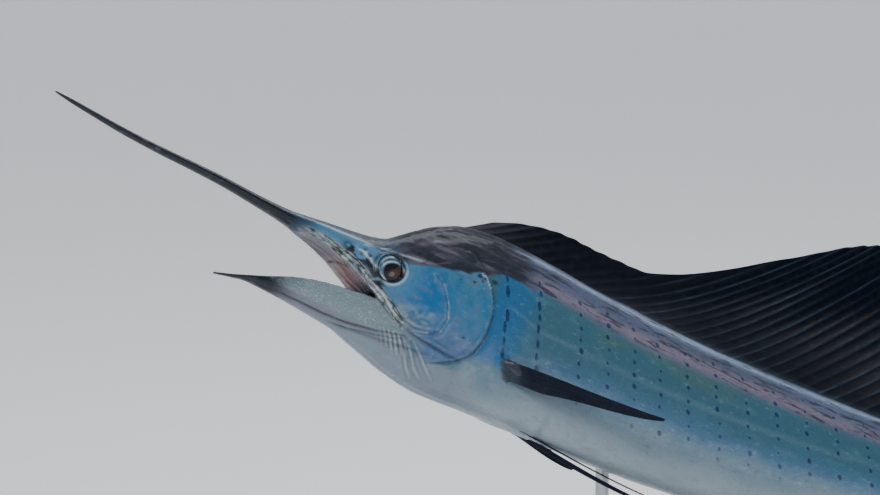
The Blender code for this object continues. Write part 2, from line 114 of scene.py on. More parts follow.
SAIL_LEN = smooth([(705, 95), (720, 109), (740, 124), (770, 139), (800, 147),
                   (850, 152), (900, 168), (940, 194), (970, 283), (1000, 420),
                   (1040, 510), (1090, 548), (1150, 554), (1230, 540), (1320, 500),
                   (1420, 440), (1520, 375), (1620, 305), (1720, 230),
                   (1800, 155), (1850, 92), (1870, 48)])
SAIL_SWEEP = smooth([(705, 41), (740, 40), (780, 39), (860, 38), (900, 38),
                     (940, 38.6), (1000, 40), (1100, 43), (1200, 46.5), (1350, 49),
                     (1500, 47), (1700, 40), (1870, 32)])
SAIL_LEAN0 = smooth([(705, 22), (850, 28), (950, 38), (1030, 47), (1200, 48),
                     (1500, 40), (1870, 24)])
SAIL_LEAN1 = smooth([(705, 10), (850, 14), (1000, 15), (1200, 12), (1870, 12)])


def top(x):
    x = np.asarray(x, float)
    return np.where(x < BILL_END, BILL_MID(x) + BILL_R(x), TOP_B(x))


def bottom(x):
    x = np.asarray(x, float)
    return np.where(x < BILL_END, BILL_MID(x) - BILL_R(x), BOT_B(x))


def half(x):
    x = np.asarray(x, float)
    return np.where(x < BILL_END, BILL_R(x) * 1.18, HALF_B(x))


SPINE_STEP = 5.0


def make_spine(length=2800.0):
    p, r = math.radians(PITCH), math.radians(BANK)
    t = np.array([math.cos(p), 0.0, -math.sin(p)])
    z0 = np.array([math.sin(p), 0.0, math.cos(p)])
    y0 = np.array([0.0, 1.0, 0.0])
    nz = math.cos(r) * z0 + math.sin(r) * y0
    ny = math.cos(r) * y0 - math.sin(r) * z0
    c = np.array(PLACE, float)
    rows = [(c.copy(), t.copy(), ny.copy(), nz.copy())]
    for i in range(1, int(length / SPINE_STEP) + 1):
        a, b = (i - 1) * SPINE_STEP, i * SPINE_STEP
        ds = math.radians(float(SIDE_BEND(b) - SIDE_BEND(a)))
        dr = math.radians(float(RISE_BEND(b) - RISE_BEND(a)))
        c = c + t * SPINE_STEP * 0.5
        t = t - ds * ny + dr * nz
        t /= np.linalg.norm(t)
        ny = ny - t * (ny @ t)
        ny /= np.linalg.norm(ny)
        nz = np.cross(t, ny)
        c = c + t * SPINE_STEP * 0.5
        rows.append((c.copy(), t.copy(), ny.copy(), nz.copy()))
    return np.array(rows)


SPINE = make_spine()


def pose(points):
    """Points of the straight fish, in millimetres, to the world in metres."""
    p = np.atleast_2d(np.asarray(points, float))
    x = np.clip(p[:, 0], 0, SPINE_STEP * (len(SPINE) - 1) - 1e-6)
    i = (x / SPINE_STEP).astype(int)
    t = (x / SPINE_STEP - i)[:, None]
    a, b = SPINE[i], SPINE[i + 1]
    row = a * (1 - t[:, :, None]) + b * t[:, :, None]
    out = (row[:, 0] + row[:, 1] * (p[:, :1] - x[:, None])
           + row[:, 2] * p[:, 1:2] + row[:, 3] * p[:, 2:3])
    return out * MM


# ----------------------------------------------------------------------
# small maths
# ----------------------------------------------------------------------
def step(a, b, x):
    """0 below a, 1 above b, smooth between (a may be above b)."""
    t = np.clip((x - a) / (b - a), 0, 1)
    return t * t * (3 - 2 * t)


def bump(x, c, w):
    return np.exp(-((x - c) / w) ** 2)


def lattice(seed):
    rng = np.random.RandomState(seed)
    return rng.rand(32, 32, 32)


LATTICES = {}


def noise(p, size, seed=1):
    """Smooth value noise in -1..1 with cells of the given size (3 numbers)."""
    if seed not in LATTICES:
        LATTICES[seed] = lattice(seed)
    g = LATTICES[seed]
    q = p / np.asarray(size, float) + 1000.0
    i = np.floor(q).astype(int)
    f = q - i
    f = f * f * (3 - 2 * f)
    out = 0.0
    for dx in (0, 1):
        wx = f[:, 0] if dx else 1 - f[:, 0]
        for dy in (0, 1):
            wy = f[:, 1] if dy else 1 - f[:, 1]
            for dz in (0, 1):
                wz = f[:, 2] if dz else 1 - f[:, 2]
                out = out + wx * wy * wz * g[(i[:, 0] + dx) % 32,
                                             (i[:, 1] + dy) % 32,
                                             (i[:, 2] + dz) % 32]
    return out * 2 - 1


def smin(a, b, k):
    h = np.clip(0.5 + 0.5 * (b - a) / k, 0, 1)
    return b * (1 - h) + a * h - k * h * (1 - h)


def smax(a, b, k):
    return -smin(-a, -b, k)


# ----------------------------------------------------------------------
# the body as an implicit shape: negative inside
# ----------------------------------------------------------------------
DEEPER = smooth([(430, 1.0), (455, 1.05), (500, 1.9), (620, 2.2), (650, 1.7), (700, 1.08),
                 (740, 1.0), (2300, 1.0)])
VAULT = smooth([(455, 0), (500, 5), (560, 10), (620, 12), (660, 8), (700, 3)])


def radial(y, z, w, zc, up, down, e_up, e_low):
    """Signed radial distance to a section with unlike upper and lower halves."""
    dz = z - zc
    hz = np.where(dz > 0, up, down)
    e = np.where(dz > 0, e_up, e_low)
    ay, az = np.abs(y) / w, np.abs(dz) / hz
    rho = (ay ** e + az ** e) ** (1.0 / e)
    rho = np.maximum(rho, 1e-4)
    r = np.sqrt(y * y + dz * dz)
    inner = np.minimum(w, hz)
    return np.where(rho > 0.05, (1 - 1 / rho) * r, -inner * (1 - rho))


def body_field(x, y, z):
    t, b, w = top(x), bottom(x), half(x)
    zc = t * 0.42 + b * 0.58
    g = DEEPER(x)
    e_up = 2.0 + 0.0 * x
    e_low = 2.0 + 0.5 * step(640, 700, x) * (1 - step(760, 900, x))
    d = radial(y, z, w, zc, t - zc, g * (zc - b), e_up, e_low)
    return d


def pectoral_sheet(U, V):
    """Middle surface of the right pectoral: V out along it, U across it."""
    out = math.radians(26.0)
    lead = PECTORAL_LENGTH * V
    base = 1 - step(0.0, 0.24, V)
    chord = ((62.0 * (1 - V) ** 0.85 * (1 - 0.25 * np.sin(np.pi * V)) + 2.5)
             * (1 - 0.50 * (1 - step(0.05, 0.36, V))))
    x = 826 + lead * math.cos(out) + chord * U * 0.30
    y = (51.0 + lead * math.sin(out) + chord * U * (0.18 - 0.56 * base)
         - 9.0 * U * (1 - step(0.10, 0.40, V)) - 12.0 * np.exp(-(V / 0.075) ** 2))
    z = (-64.0 - 24.0 * np.sin(np.pi * V * 0.5) * V - chord * U * 0.93
         - 8.0 * np.exp(-(V / 0.11) ** 2) * (1 - U))
    return np.stack([x, y, z], -1)


def make_stub():
    c, a, b, p, q = (pectoral_sheet(np.array(u), np.array(v)) for u, v in
                     ((0.5, 0.125), (0.5, 0.18), (0.5, 0.08), (1.0, 0.125), (0.0, 0.125)))
    d1 = (a - b) / np.linalg.norm(a - b)
    d2 = (p - q) - d1 * ((p - q) @ d1)
    d2 /= np.linalg.norm(d2)
    return c, np.stack([d1, d2, np.cross(d1, d2)])


STUB = make_stub()
STUB_SIZE = np.array([29.0, 18.5, 3.8])


def stub_field(x, ay, z):
    """Flesh round the root of the pectoral fin."""
    c, axes = STUB
    p = np.stack([x - c[0], ay - c[1], z - c[2]], -1) @ axes.T
    k0 = np.sqrt(((p / STUB_SIZE) ** 2).sum(-1)) + 1e-9
    k1 = np.sqrt(((p / STUB_SIZE ** 2) ** 2).sum(-1)) + 1e-9
    return k0 * (k0 - 1) / k1


def head_field(x, y, z):
    d = body_field(x, y, z)
    d = smin(d, stub_field(x, np.abs(y), z), 9.0)
    # eye socket's raised rim
    ay = np.abs(y)
    rr = np.sqrt((x - EYE_X) ** 2 + (z - EYE_Z) ** 2)
    ring = np.sqrt((rr - 25.2) ** 2 + (ay - 38.0) ** 2) - 2.7
    d = smin(d, ring, 5.0)
    # underside of the upper jaw: cut away below the palate
    rim = BOT_B(x)
    wi = np.maximum(half(x) - 5.0, 4.0)
    pal = rim + VAULT(x) * np.clip(1 - (y / wi) ** 2, 0, 1)
    pal = pal - 9.0 * (1 - step(440, 505, x))
    cutter = np.minimum(pal - z, MOUTH_CORNER - x)
    u = smax(d, cutter, 3.0)
    # lower jaw and throat
    tj, bj, wj = JAW_TOP(x), THROAT(x), JAW_HALF(x)
    zj = tj * 0.72 + bj * 0.28
    low = radial(y, z, wj, zj, tj - zj, zj - bj, 4.0 + 0 * x, 2.2 + 0 * x)
    wi2 = np.maximum(wj - 4.5, 0.5)
    trough = np.clip((wj - 3.0) * 0.55, 0, 15)
    floor = tj - trough * np.clip(1 - (y / wi2) ** 2, 0, 1) ** 0.8
    low = smax(low, np.where(x < 655, z - floor, -50.0), 2.0)
    low = np.maximum(low, JAW_TIP_X - x)
    f = smin(u, low, 6.0 * step(585, 660, x) + 0.6)
    # the mouth goes on inside as a narrowing pocket
    s = np.clip((x - 590.0) / 130.0, 0, 1)
    hp = 16.0 - 10.0 * s
    wp = 30.0 - 18.0 * s
    zp = -62.0 + 2.0 * s
    pocket = radial(y, z, wp, zp, hp, hp, 2.2 + 0 * x, 2.2 + 0 * x)
    pocket = np.maximum(pocket, x - 722.0)
    pocket = np.maximum(pocket, 586.0 - x)
    f = smax(f, -pocket, 3.0)
    # a low tongue on the floor of the mouth
    st = np.clip((x - 520.0) / 150.0, 0, 1)
    tw = 11.0 * np.sqrt(np.clip(1 - (1 - st * 1.6) ** 2, 0.0, 1)) + 0.5
    tz = JAW_TOP(x) - 14.0
    tongue = radial(y, z, tw + 0.5, tz, 8.5, 12.0, 2.2 + 0 * x, 2.0 + 0 * x)
    tongue = np.maximum(tongue, 521.0 - x)
    tongue = np.maximum(tongue, x - 700.0)
    f = smin(f, tongue, 3.0)
    # eye sockets
    q = np.sqrt(((x - EYE_X) / (EYE_RADIUS + 0.2)) ** 2
                + ((z - EYE_Z) / (EYE_RADIUS + 0.2)) ** 2
                + ((ay - EYE_Y) / (EYE_BULGE + 0.2)) ** 2)
    sock = (q - 1) * 15.0
    dish = (np.sqrt(((x - EYE_X) / 23.2) ** 2 + ((z - EYE_Z) / 23.2) ** 2
                    + ((ay - 46.0) / 6.4) ** 2) - 1) * 6.4
    f = smax(f, -dish, 1.2)
    f = smax(f, -sock, 1.0)
    return f


JAW_TIP_X = 373.0
MOUTH_CORNER = 627.0


# ----------------------------------------------------------------------
# surface nets on a grid with uneven spacing
# ----------------------------------------------------------------------
EDGES = [((0, 0, 0), (1, 0, 0)), ((0, 1, 0), (1, 1, 0)), ((0, 0, 1), (1, 0, 1)),
         ((0, 1, 1), (1, 1, 1)), ((0, 0, 0), (0, 1, 0)), ((1, 0, 0), (1, 1, 0)),
         ((0, 0, 1), (0, 1, 1)), ((1, 0, 1), (1, 1, 1)), ((0, 0, 0), (0, 0, 1)),
         ((1, 0, 0), (1, 0, 1)), ((0, 1, 0), (0, 1, 1)), ((1, 1, 0), (1, 1, 1))]


def surface_nets(field, xs, ys, zs):
    nx, ny, nz = len(xs), len(ys), len(zs)
    F = np.empty((nx, ny, nz), np.float32)
    Y, Z = np.meshgrid(ys, zs, indexing="ij")
    chunk = 16
    for i in range(0, nx, chunk):
        xx = xs[i:i + chunk]
        X = np.broadcast_to(xx[:, None, None], (len(xx), ny, nz))
        F[i:i + chunk] = field(X, np.broadcast_to(Y, X.shape),
                               np.broadcast_to(Z, X.shape))
    S = F < 0
    c = S[:-1, :-1, :-1]
    any_ = np.zeros(c.shape, bool)
    all_ = np.ones(c.shape, bool)
    for dx in (0, 1):
        for dy in (0, 1):
            for dz in (0, 1):
                v = S[dx:nx - 1 + dx, dy:ny - 1 + dy, dz:nz - 1 + dz]
                any_ |= v
                all_ &= v
    act = any_ & ~all_
    ci, cj, ck = np.nonzero(act)
    index = np.full(act.shape, -1, np.int64)
    index[ci, cj, ck] = np.arange(len(ci))
    acc = np.zeros((len(ci), 3))
    cnt = np.zeros(len(ci))
    for a, b in EDGES:
        fa = F[ci + a[0], cj + a[1], ck + a[2]].astype(float)
        fb = F[ci + b[0], cj + b[1], ck + b[2]].astype(float)
        hit = (fa < 0) != (fb < 0)
        t = np.where(hit, fa / np.where(hit, fa - fb, 1.0), 0)
        pa = np.stack([xs[ci + a[0]], ys[cj + a[1]], zs[ck + a[2]]], 1)
        pb = np.stack([xs[ci + b[0]], ys[cj + b[1]], zs[ck + b[2]]], 1)
        acc += np.where(hit[:, None], pa + (pb - pa) * t[:, None], 0)
        cnt += hit
    verts = acc / cnt[:, None]
    quads = []
    # edges along x, y, z: the four cells round each crossing
    i, j, k = np.nonzero(S[:-1, 1:-1, 1:-1] != S[1:, 1:-1, 1:-1])
    j, k = j + 1, k + 1
    q = np.stack([index[i, j-1, k-1], index[i, j, k-1], index[i, j, k],
                  index[i, j-1, k]], 1)
    flip = S[i, j, k]
    quads.append(np.where(flip[:, None], q, q[:, ::-1]))
    i, j, k = np.nonzero(S[1:-1, :-1, 1:-1] != S[1:-1, 1:, 1:-1])
    i, k = i + 1, k + 1
    q = np.stack([index[i-1, j, k-1], index[i-1, j, k], index[i, j, k],
                  index[i, j, k-1]], 1)
    flip = S[i, j, k]
    quads.append(np.where(flip[:, None], q, q[:, ::-1]))
    i, j, k = np.nonzero(S[1:-1, 1:-1, :-1] != S[1:-1, 1:-1, 1:])
    i, j = i + 1, j + 1
    q = np.stack([index[i-1, j-1, k], index[i, j-1, k], index[i, j, k],
                  index[i-1, j, k]], 1)
    flip = S[i, j, k]
    quads.append(np.where(flip[:, None], q, q[:, ::-1]))
    quads = np.concatenate(quads)
    return verts, quads, ci


def gradient(field, p, h=0.25):
    g = np.empty_like(p)
    for a in range(3):
        d = np.zeros(3)
        d[a] = h
        u, v = p + d, p - d
        g[:, a] = (field(u[:, 0], u[:, 1], u[:, 2])
                   - field(v[:, 0], v[:, 1], v[:, 2])) / (2 * h)
    return g


def project_on(field, p, fixed_x, rounds=3):
    for _ in range(rounds):
        f = field(p[:, 0], p[:, 1], p[:, 2])
        g = gradient(field, p)
        g[fixed_x, 0] = 0
        n2 = np.maximum((g * g).sum(1), 0.05)
        s = np.clip(f / n2, -1.2, 1.2)
        p = p - g * s[:, None]
    return p


def section_ring(x, n, grow=0.0):
    t, b, w = float(top(x)), float(bottom(x)), float(half(x))
    if x > 2246.0:
        q = min((x - 2246.0) / (TONGUE_END - 2246.0), 1.0)
        w *= max(1 - q * q, 0.004) ** 0.75
        high = max(1 - q ** 2.6, 0.0016) ** 0.5
        t, b = t * high, b * high
    zc = t * 0.42 + b * 0.58
    a = 2 * np.pi * np.arange(n) / n
    c, s = np.cos(a), np.sin(a)
    z = np.where(s > 0, zc + (t - zc) * s, zc + (zc - b) * s)
    return np.stack([np.full(n, float(x)), w * c, z], 1)


def zip_loops(A, B, pts, centre_z):
    """Triangles between two closed loops of vertex indices, by angle."""
    def order(L):
        a = np.arctan2(pts[L, 2] - centre_z, pts[L, 1])
        o = np.argsort(a)
        return np.asarray(L)[o], a[o]
    la, aa = order(A)
    lb, ab = order(B)
    i = j = 0
    na, nb = len(la), len(lb)
    tris = []
    while i < na or j < nb:
        ai = aa[i % na] + (2 * np.pi if i >= na else 0)
        bj = ab[j % nb] + (2 * np.pi if j >= nb else 0)
        ai1 = aa[(i + 1) % na] + 2 * np.pi * ((i + 1) // na)
        bj1 = ab[(j + 1) % nb] + 2 * np.pi * ((j + 1) // nb)
        if (i < na and ai1 <= bj1) or j >= nb:
            tris.append((la[i % na], la[(i + 1) % na], lb[j % nb]))
            i += 1
        else:
            tris.append((la[i % na], lb[(j + 1) % nb], lb[j % nb]))
            j += 1
    return tris


def build_skin():
    """The whole skin in the straight frame: vertices, faces, normals."""
    k = 1.0
    x0, x1 = 370.0, 962.0
    xs = np.concatenate([np.arange(x0, 406.0, 1.5 * k), np.arange(406.0, 556.0, 2.6 * k),
                         np.arange(556.0, 780.0, 2.0 * k),
                         np.linspace(780.0, x1, int((x1 - 780.0) / (3.3 * k)))])
    xs = np.unique(np.round(xs, 3))
    xs = xs[np.concatenate([[True], np.diff(xs) > 0.9])]
    ys = np.arange(-85.8, 85.81, 2.2 * k)
    ys = ys - ys.mean()
    zs = np.concatenate([np.arange(-168.0, -150.0, 3.0 * k),
                         np.arange(-150.0, 30.0, 2.0 * k),
                         np.arange(30.0, 154.0, 2.8 * k)])
    zs = zs[np.concatenate([[True], np.diff(zs) > 0.9])]
    v, q, ci = surface_nets(head_field, xs, ys, zs)
    first, last = ci == 0, ci == len(xs) - 2
    v[first, 0] = x0
    v[last, 0] = x1
    v = project_on(head_field, v, first | last)
    g = gradient(head_field, v)
    n = g / np.maximum(np.linalg.norm(g, axis=1), 1e-6)[:, None]
    verts, norms = [v], [n]
    faces = [tuple(f) for f in q[:, ::-1]]
    count = len(v)

    def add_rings(xlist, m):
        nonlocal count
        rings = []
        for x in xlist:
            r = section_ring(x, m)
            g = gradient(body_field, r)
            verts.append(r)
            norms.append(g / np.maximum(np.linalg.norm(g, axis=1), 1e-6)[:, None])
            rings.append(np.arange(count, count + m))
            count += m
        for a, b in zip(rings[:-1], rings[1:]):
            for i in range(m):
                j = (i + 1) % m
                faces.append((a[i], a[j], b[j], b[i]))
        return rings

    # trunk, on to the tail
    m = 104
    tx = np.concatenate([np.linspace(x1 + 4.0, 2120.0, 104),
                         np.linspace(2124.0, 2270.0, 34),
                         TONGUE_END - 38.0 * (1 - np.linspace(0.04, 1.0, 18) ** 0.8) ** 1.3])
    trunk = add_rings(tx, m)
    # bill
    mb = 36
    bx = np.concatenate([[BILL_TIP, 29.0, 31.5, 36.0, 42.0],
                         np.linspace(49.0, x0 - 3.0, 62)])
    bill = add_rings(bx, mb)
    pts = np.concatenate(verts)
    loop_last = np.nonzero(last)[0]
    loop_first = np.nonzero(first)[0]
    zt = float(top(x1)) * 0.42 + float(bottom(x1)) * 0.58
    faces += zip_loops(loop_last, trunk[0], pts, zt)
    zb = float(top(x0)) * 0.42 + float(bottom(x0)) * 0.58
    faces += zip_loops(loop_first, bill[-1], pts, zb)
    # close the two ends
    for ring, x in ((trunk[-1], TONGUE_END + 0.2), (bill[0], BILL_TIP - 0.8)):
        c = pts[ring].mean(axis=0)
        c[0] = x
        verts.append(c[None])
        norms.append(np.array([[1.0 if x > 1000 else -1.0, 0, 0]]))
        for i in range(len(ring)):
            faces.append((ring[i], ring[(i + 1) % len(ring)], count))
        count += 1
    return np.concatenate(verts), faces, np.concatenate(norms)


# ----------------------------------------------------------------------
# relief and colour masks of the skin, all as functions of the straight frame
# ----------------------------------------------------------------------
def path(x, z, pts):
    """Distance in the side view from a polyline, and how far along it."""
    best = np.full(x.shape, 1e9)
    along = np.zeros(x.shape)
    n = len(pts) - 1
    for i in range(n):
        ax, az = pts[i]
        bx, bz = pts[i + 1]
        dx, dz = bx - ax, bz - az
        t = np.clip(((x - ax) * dx + (z - az) * dz) / (dx * dx + dz * dz), 0, 1)
        d = np.hypot(x - ax - t * dx, z - az - t * dz)
        m = d < best
        best = np.where(m, d, best)
        along = np.where(m, (i + t) / n, along)
    return best, along


COVER_EDGE = smooth([(-158, 650), (-150, 675), (-140, 706), (-125, 742),
                     (-110, 770), (-98, 787.5), (-85, 799.5), (-67, 807),
                     (-37, 811), (-10, 810), (10, 805), (30, 796), (50, 782.5),
                     (70, 763), (85, 742)])
BAND_EDGE = smooth([(455, 4), (560, 14), (643, 11), (688, 22), (727, 34),
                    (760, 46), (790, 62), (844, 72), (904, 74), (961, 73),
                    (1033, 68), (1087, 69), (1174, 67), (1300, 60), (1500, 47),
                    (1800, 30), (2100, 12), (2292, 8)])
LIP_TOP = smooth([(440, 0), (469, -3), (502, -5), (538, -9), (568, -16),
                  (601, -30), (628, -46), (655, -62), (676, -77)])
PREOPERCLE = [(700, 12), (712, 5), (724, -10), (735, -28), (742, -48),
              (739, -70), (724, -84), (700, -92)]
SUBOPERCLE = [(690, -90), (703, -95), (724, -97), (742, -98), (762, -99),
              (787, -99)]
CHEEK = [(668, -72), (685, -80), (699, -83), (718, -80), (739, -73)]
JAW_FOLD = [(420, -129), (475, -124), (520, -123), (559, -123), (598, -121),
            (643, -114), (691, -102)]
JAW_FOLD_LOW = [(505, -130), (560, -129.5), (606, -127), (648, -120), (690, -109)]
THROAT_FOLD = [(560, -132), (610, -128), (660, -124), (705, -118), (745, -112)]
MAXILLA_END = [(640, -66), (652, -74), (666, -82), (680, -88)]
GILL_MEMBRANE = ([(686, -112), (700, -126), (716, -144), (732, -154)],
                 [(694, -107), (708, -120), (727, -140), (745, -150)],
                 [(706, -104), (722, -117), (744, -134), (764, -145)])
LATERAL = [(800, 36), (811, 29), (853, 17), (901, 5), (979, 9), (1048, 8),
           (1200, 6), (1500, 2), (1900, 0), (2230, 0)]


def back_arc(x, y, z):
    """Distance down the side from the middle of the back, in millimetres."""
    t, b, w = top(x), bottom(x), half(x)
    zc = t * 0.42 + b * 0.58
    a = np.arctan2((z - zc) / (t - zc), np.abs(y) / w)
    return (np.pi / 2 - a) * (0.5 * (t - zc) + 0.5 * w)


def relief(p, n):
    """How far each skin point is raised, and how much painted shade lies in its folds."""
    x, y, z = p[:, 0], p[:, 1], p[:, 2]
    ay = np.abs(y)
    side = step(0.25, 0.6, np.abs(n[:, 1]))
    d = np.zeros(len(p))
    dark = np.zeros(len(p))
    inside = mouth_mask(p, n)
    outer = 1 - inside

    # gill cover: a plate with a free edge, and painted shadow in the groove behind it
    ce = COVER_EDGE(z)
    s = x - ce
    zone = side * step(86, 70, z) * step(-134, -112, z)
    plate = step(0.8, -2.6, s) * step(640, 740, x)
    d += 2.5 * plate * zone
    d -= 1.5 * np.exp(-((s - 2.6) / 3.2) ** 2) * zone
    d -= 0.9 * step(60, 0, s) * step(0, 2, s) * zone
    dark += 1.0 * np.exp(-((s - 1.2) / 1.7) ** 2) * zone * step(60, 30, z)
    d += 0.7 * np.exp(-((s + 7) / 4.0) ** 2) * zone

    # each fold: a groove with a low bank, and painted shade along its bottom
    for pts, depth, w, dk in ((PREOPERCLE, 1.5, 2.8, 0.34),
                              (SUBOPERCLE, 1.7, 2.6, 0.95),
                              (CHEEK, 1.2, 2.4, 0.75),
                              (JAW_FOLD, 2.2, 2.5, 1.05),
                              (JAW_FOLD_LOW, 1.2, 1.9, 0.75),
                              (THROAT_FOLD, 1.1, 3.0, 0.5),
                              (MAXILLA_END, 1.2, 2.2, 0.8)):
        dist, a = path(x, z, pts)
        fade = np.sin(np.pi * np.clip(a, 0.04, 0.96)) ** 0.35
        g = np.exp(-(dist / w) ** 2) * side * fade
        d -= depth * g
        d += depth * 0.45 * np.exp(-((dist - 2.3 * w) / (1.3 * w)) ** 2) * side * fade
        dark += dk * np.exp(-(dist / (w * 0.62)) ** 2) * side * fade
    # short folds rising from the cheek behind the preopercle, low and soft
    dist, a = path(x, z, [(694, 8), (702, 0), (707, -8)])
    d -= 0.9 * np.exp(-(dist / 2.2) ** 2) * side

    # upper lip: a rounded strip along the rim of the jaw
    lt = LIP_TOP(x)
    rim = BOT_B(x)
    zone = side * step(462, 500, x) * step(690, 668, x) * (z > rim - 14)
    t = (z - rim) / np.maximum(lt - rim, 3.0)
    d += 1.5 * np.exp(-((t - 0.45) / 0.34) ** 2) * zone * outer
    d -= 1.0 * np.exp(-((z - lt - 1.0) / 2.0) ** 2) * zone * outer
    # nostrils: pits with a low rim, and painted shade in them
    for cx, cz, r in ((581, 2, 2.6), (592, -4, 3.4)):
        rr = np.hypot((x - cx) * 0.8, z - cz)
        d -= 2.6 * np.exp(-(rr / r) ** 2) * side
        d += 0.8 * np.exp(-((rr - r * 1.9) / 1.6) ** 2) * side
        dark += 1.0 * np.exp(-(rr / (r * 0.9)) ** 2) * side
    # folds round the eye, with painted shade in the upper fold
    ex, ez = x - EYE_X, z - EYE_Z
    er = np.hypot(ex, ez)
    ea = np.arctan2(ez, -ex)              # 0 ahead, 90 above
    d -= 0.9 * np.exp(-((er - 30.5) / 2.2) ** 2) * side
    up = step(-0.3, 0.5, np.cos(ea - 1.2))
    d -= 0.8 * np.exp(-((er - 36.5) / 1.8) ** 2) * side * up
    dark += 0.55 * np.exp(-((er - 30.5) / 1.4) ** 2) * side * up

    # crown and nape: soft furrows that run back under the raised fin
    h = (z - bottom(x)) / np.maximum(top(x) - bottom(x), 1)
    arc = back_arc(x, y, z)
    wav = noise(np.stack([x, arc * np.sign(y), 0 * x], 1), (90, 13, 9), 5)
    crown = step(0.62, 0.8, h) * step(640, 700, x) * step(1500, 1000, x)
    d += 1.3 * wav * crown * outer
    # a hollow on the nape, under the front of the fin
    d -= 2.6 * np.exp(-(((x - 815) / 46.0) ** 2 + ((arc - 36) / 12.0) ** 2))
    ridge = step(690, 720, x) * step(1905, 1850, x) * (z > 0)
    d += 2.2 * np.exp(-((ay - 9) / 4.5) ** 2) * ridge * step(0.8, 0.95, h)
    d -= 2.4 * np.exp(-(y / 4.5) ** 2) * ridge * step(0.8, 0.95, h)
    # snout: a low ridge each side of the bill's root
    sn = step(470, 520, x) * step(640, 600, x) * step(0.5, 1.0, n[:, 2])
    d += 1.0 * np.exp(-((ay - 0.55 * half(x)) / 4.0) ** 2) * sn

    # throat: fine lengthwise pleats between the jaw's arms
    thr = step(-96, -112, z) * step(520, 600, x) * step(860, 760, x)
    q = np.arctan2(y, -(z + 60.0))
    pl = np.sin(q * 34.0 + 2.2 * noise(p, (60, 30, 30), 8))
    d += 0.55 * pl * thr * outer * step(500, 640, x) * step(0.75, 0.35, np.abs(n[:, 1]))
    fq = x + 0.74 * (z + 95.0)
    pv = np.sin(fq * 0.74 + 1.6 * noise(p, (40, 30, 60), 9))
    wz = (np.exp(-((fq - 664) / 24.0) ** 2) * step(-100, -108, z) * step(-138, -122, z)
          * step(-0.9, 0.1, noise(p, (24, 30, 24), 21) + 0.4))
    d += 0.8 * pv * wz * side
    # painted shade in the troughs of these folds
    dark += 0.70 * step(0.15, 0.95, -pv) * wz * side
    # gill membranes: raised folds with painted shade along each side
    for pts in GILL_MEMBRANE:
        dist, a = path(x, z, pts)
        fade = np.sin(np.pi * np.clip(a, 0.03, 0.97)) ** 0.5
        d += 1.3 * np.exp(-(dist / 2.6) ** 2) * fade * step(0.15, 0.35, np.abs(n[:, 1]))
        dark += 0.45 * np.exp(-((dist - 3.2) / 1.5) ** 2) * fade * step(0.15, 0.35, np.abs(n[:, 1]))

    # two keels each side of the tail's root
    kx = step(2128, 2205, x) * step(2292, 2258, x)
    for kz in (9.0, -9.0):
        d += 4.6 * np.exp(-((z - kz) / 2.8) ** 2) * kx * step(0.3, 0.7, np.abs(n[:, 1]))
    # grooves where the small fins stand
    for x0, x1, sg in ((1985, 2055, 1), (1972, 2042, -1), (1640, 1800, -1)):
        on = step(x0 - 20, x0, x) * step(x1 + 16, x1 - 4, x) * (z * sg > 0)
        d += 1.3 * np.exp(-((ay - 5.5) / 3.0) ** 2) * on
    # fleshy base of the paired fins
    for cx, cz, rx, rz, amt in ((900, -142, 22, 15, 2.2),):
        rr = np.hypot((x - cx) / rx, (z - cz) / rz)
        d += amt * np.exp(-rr ** 2) * step(0.1, 0.4, np.abs(n[:, 1])) * (z < 0)
    # muscle and soft unevenness
    seg = np.sin((x + 26 * np.abs((z - 5) / 70.0)) * 2 * np.pi / 52.0)
    d += 0.22 * seg * side * step(900, 1050, x) * step(2150, 1900, x)
    amp = step(455, 620, x)
    d += 0.55 * noise(p, (34, 22, 22), 3) * amp * outer
    d += 0.26 * noise(p, (11, 8, 8), 4) * amp
    # lower jaw's edge: a low bead with small teeth-like roughness
    je = np.abs(z - JAW_TOP(x)) < 6
    d += 0.35 * noise(p, (5, 5, 5), 6) * je * step(380, 440, x) * step(660, 620, x)
    # roof of the mouth: ridges fanning back
    flesh = np.exp(-(((x - 590) / 17.0) ** 2 + ((y - 17) / 9.0) ** 2)) \
        + np.exp(-(((x - 590) / 17.0) ** 2 + ((y + 17) / 9.0) ** 2))
    d += 3.2 * flesh * inside * (z > -50)
    cd, _ = path(x, y, [(548, 22), (560, 10), (572, -2), (560, -14), (548, -24)])
    d -= 1.0 * np.exp(-(cd / 2.4) ** 2) * inside * (z > -45)
    roof = inside * (z > -62) * step(480, 540, x)
    d += 0.9 * np.sin(y * 0.62 + 0.8 * noise(p, (40, 20, 20), 7)) * roof
    d = d * np.where(z < -90, step(374, 400, x), 1.0)
    return d, np.clip(dark, 0, 1)


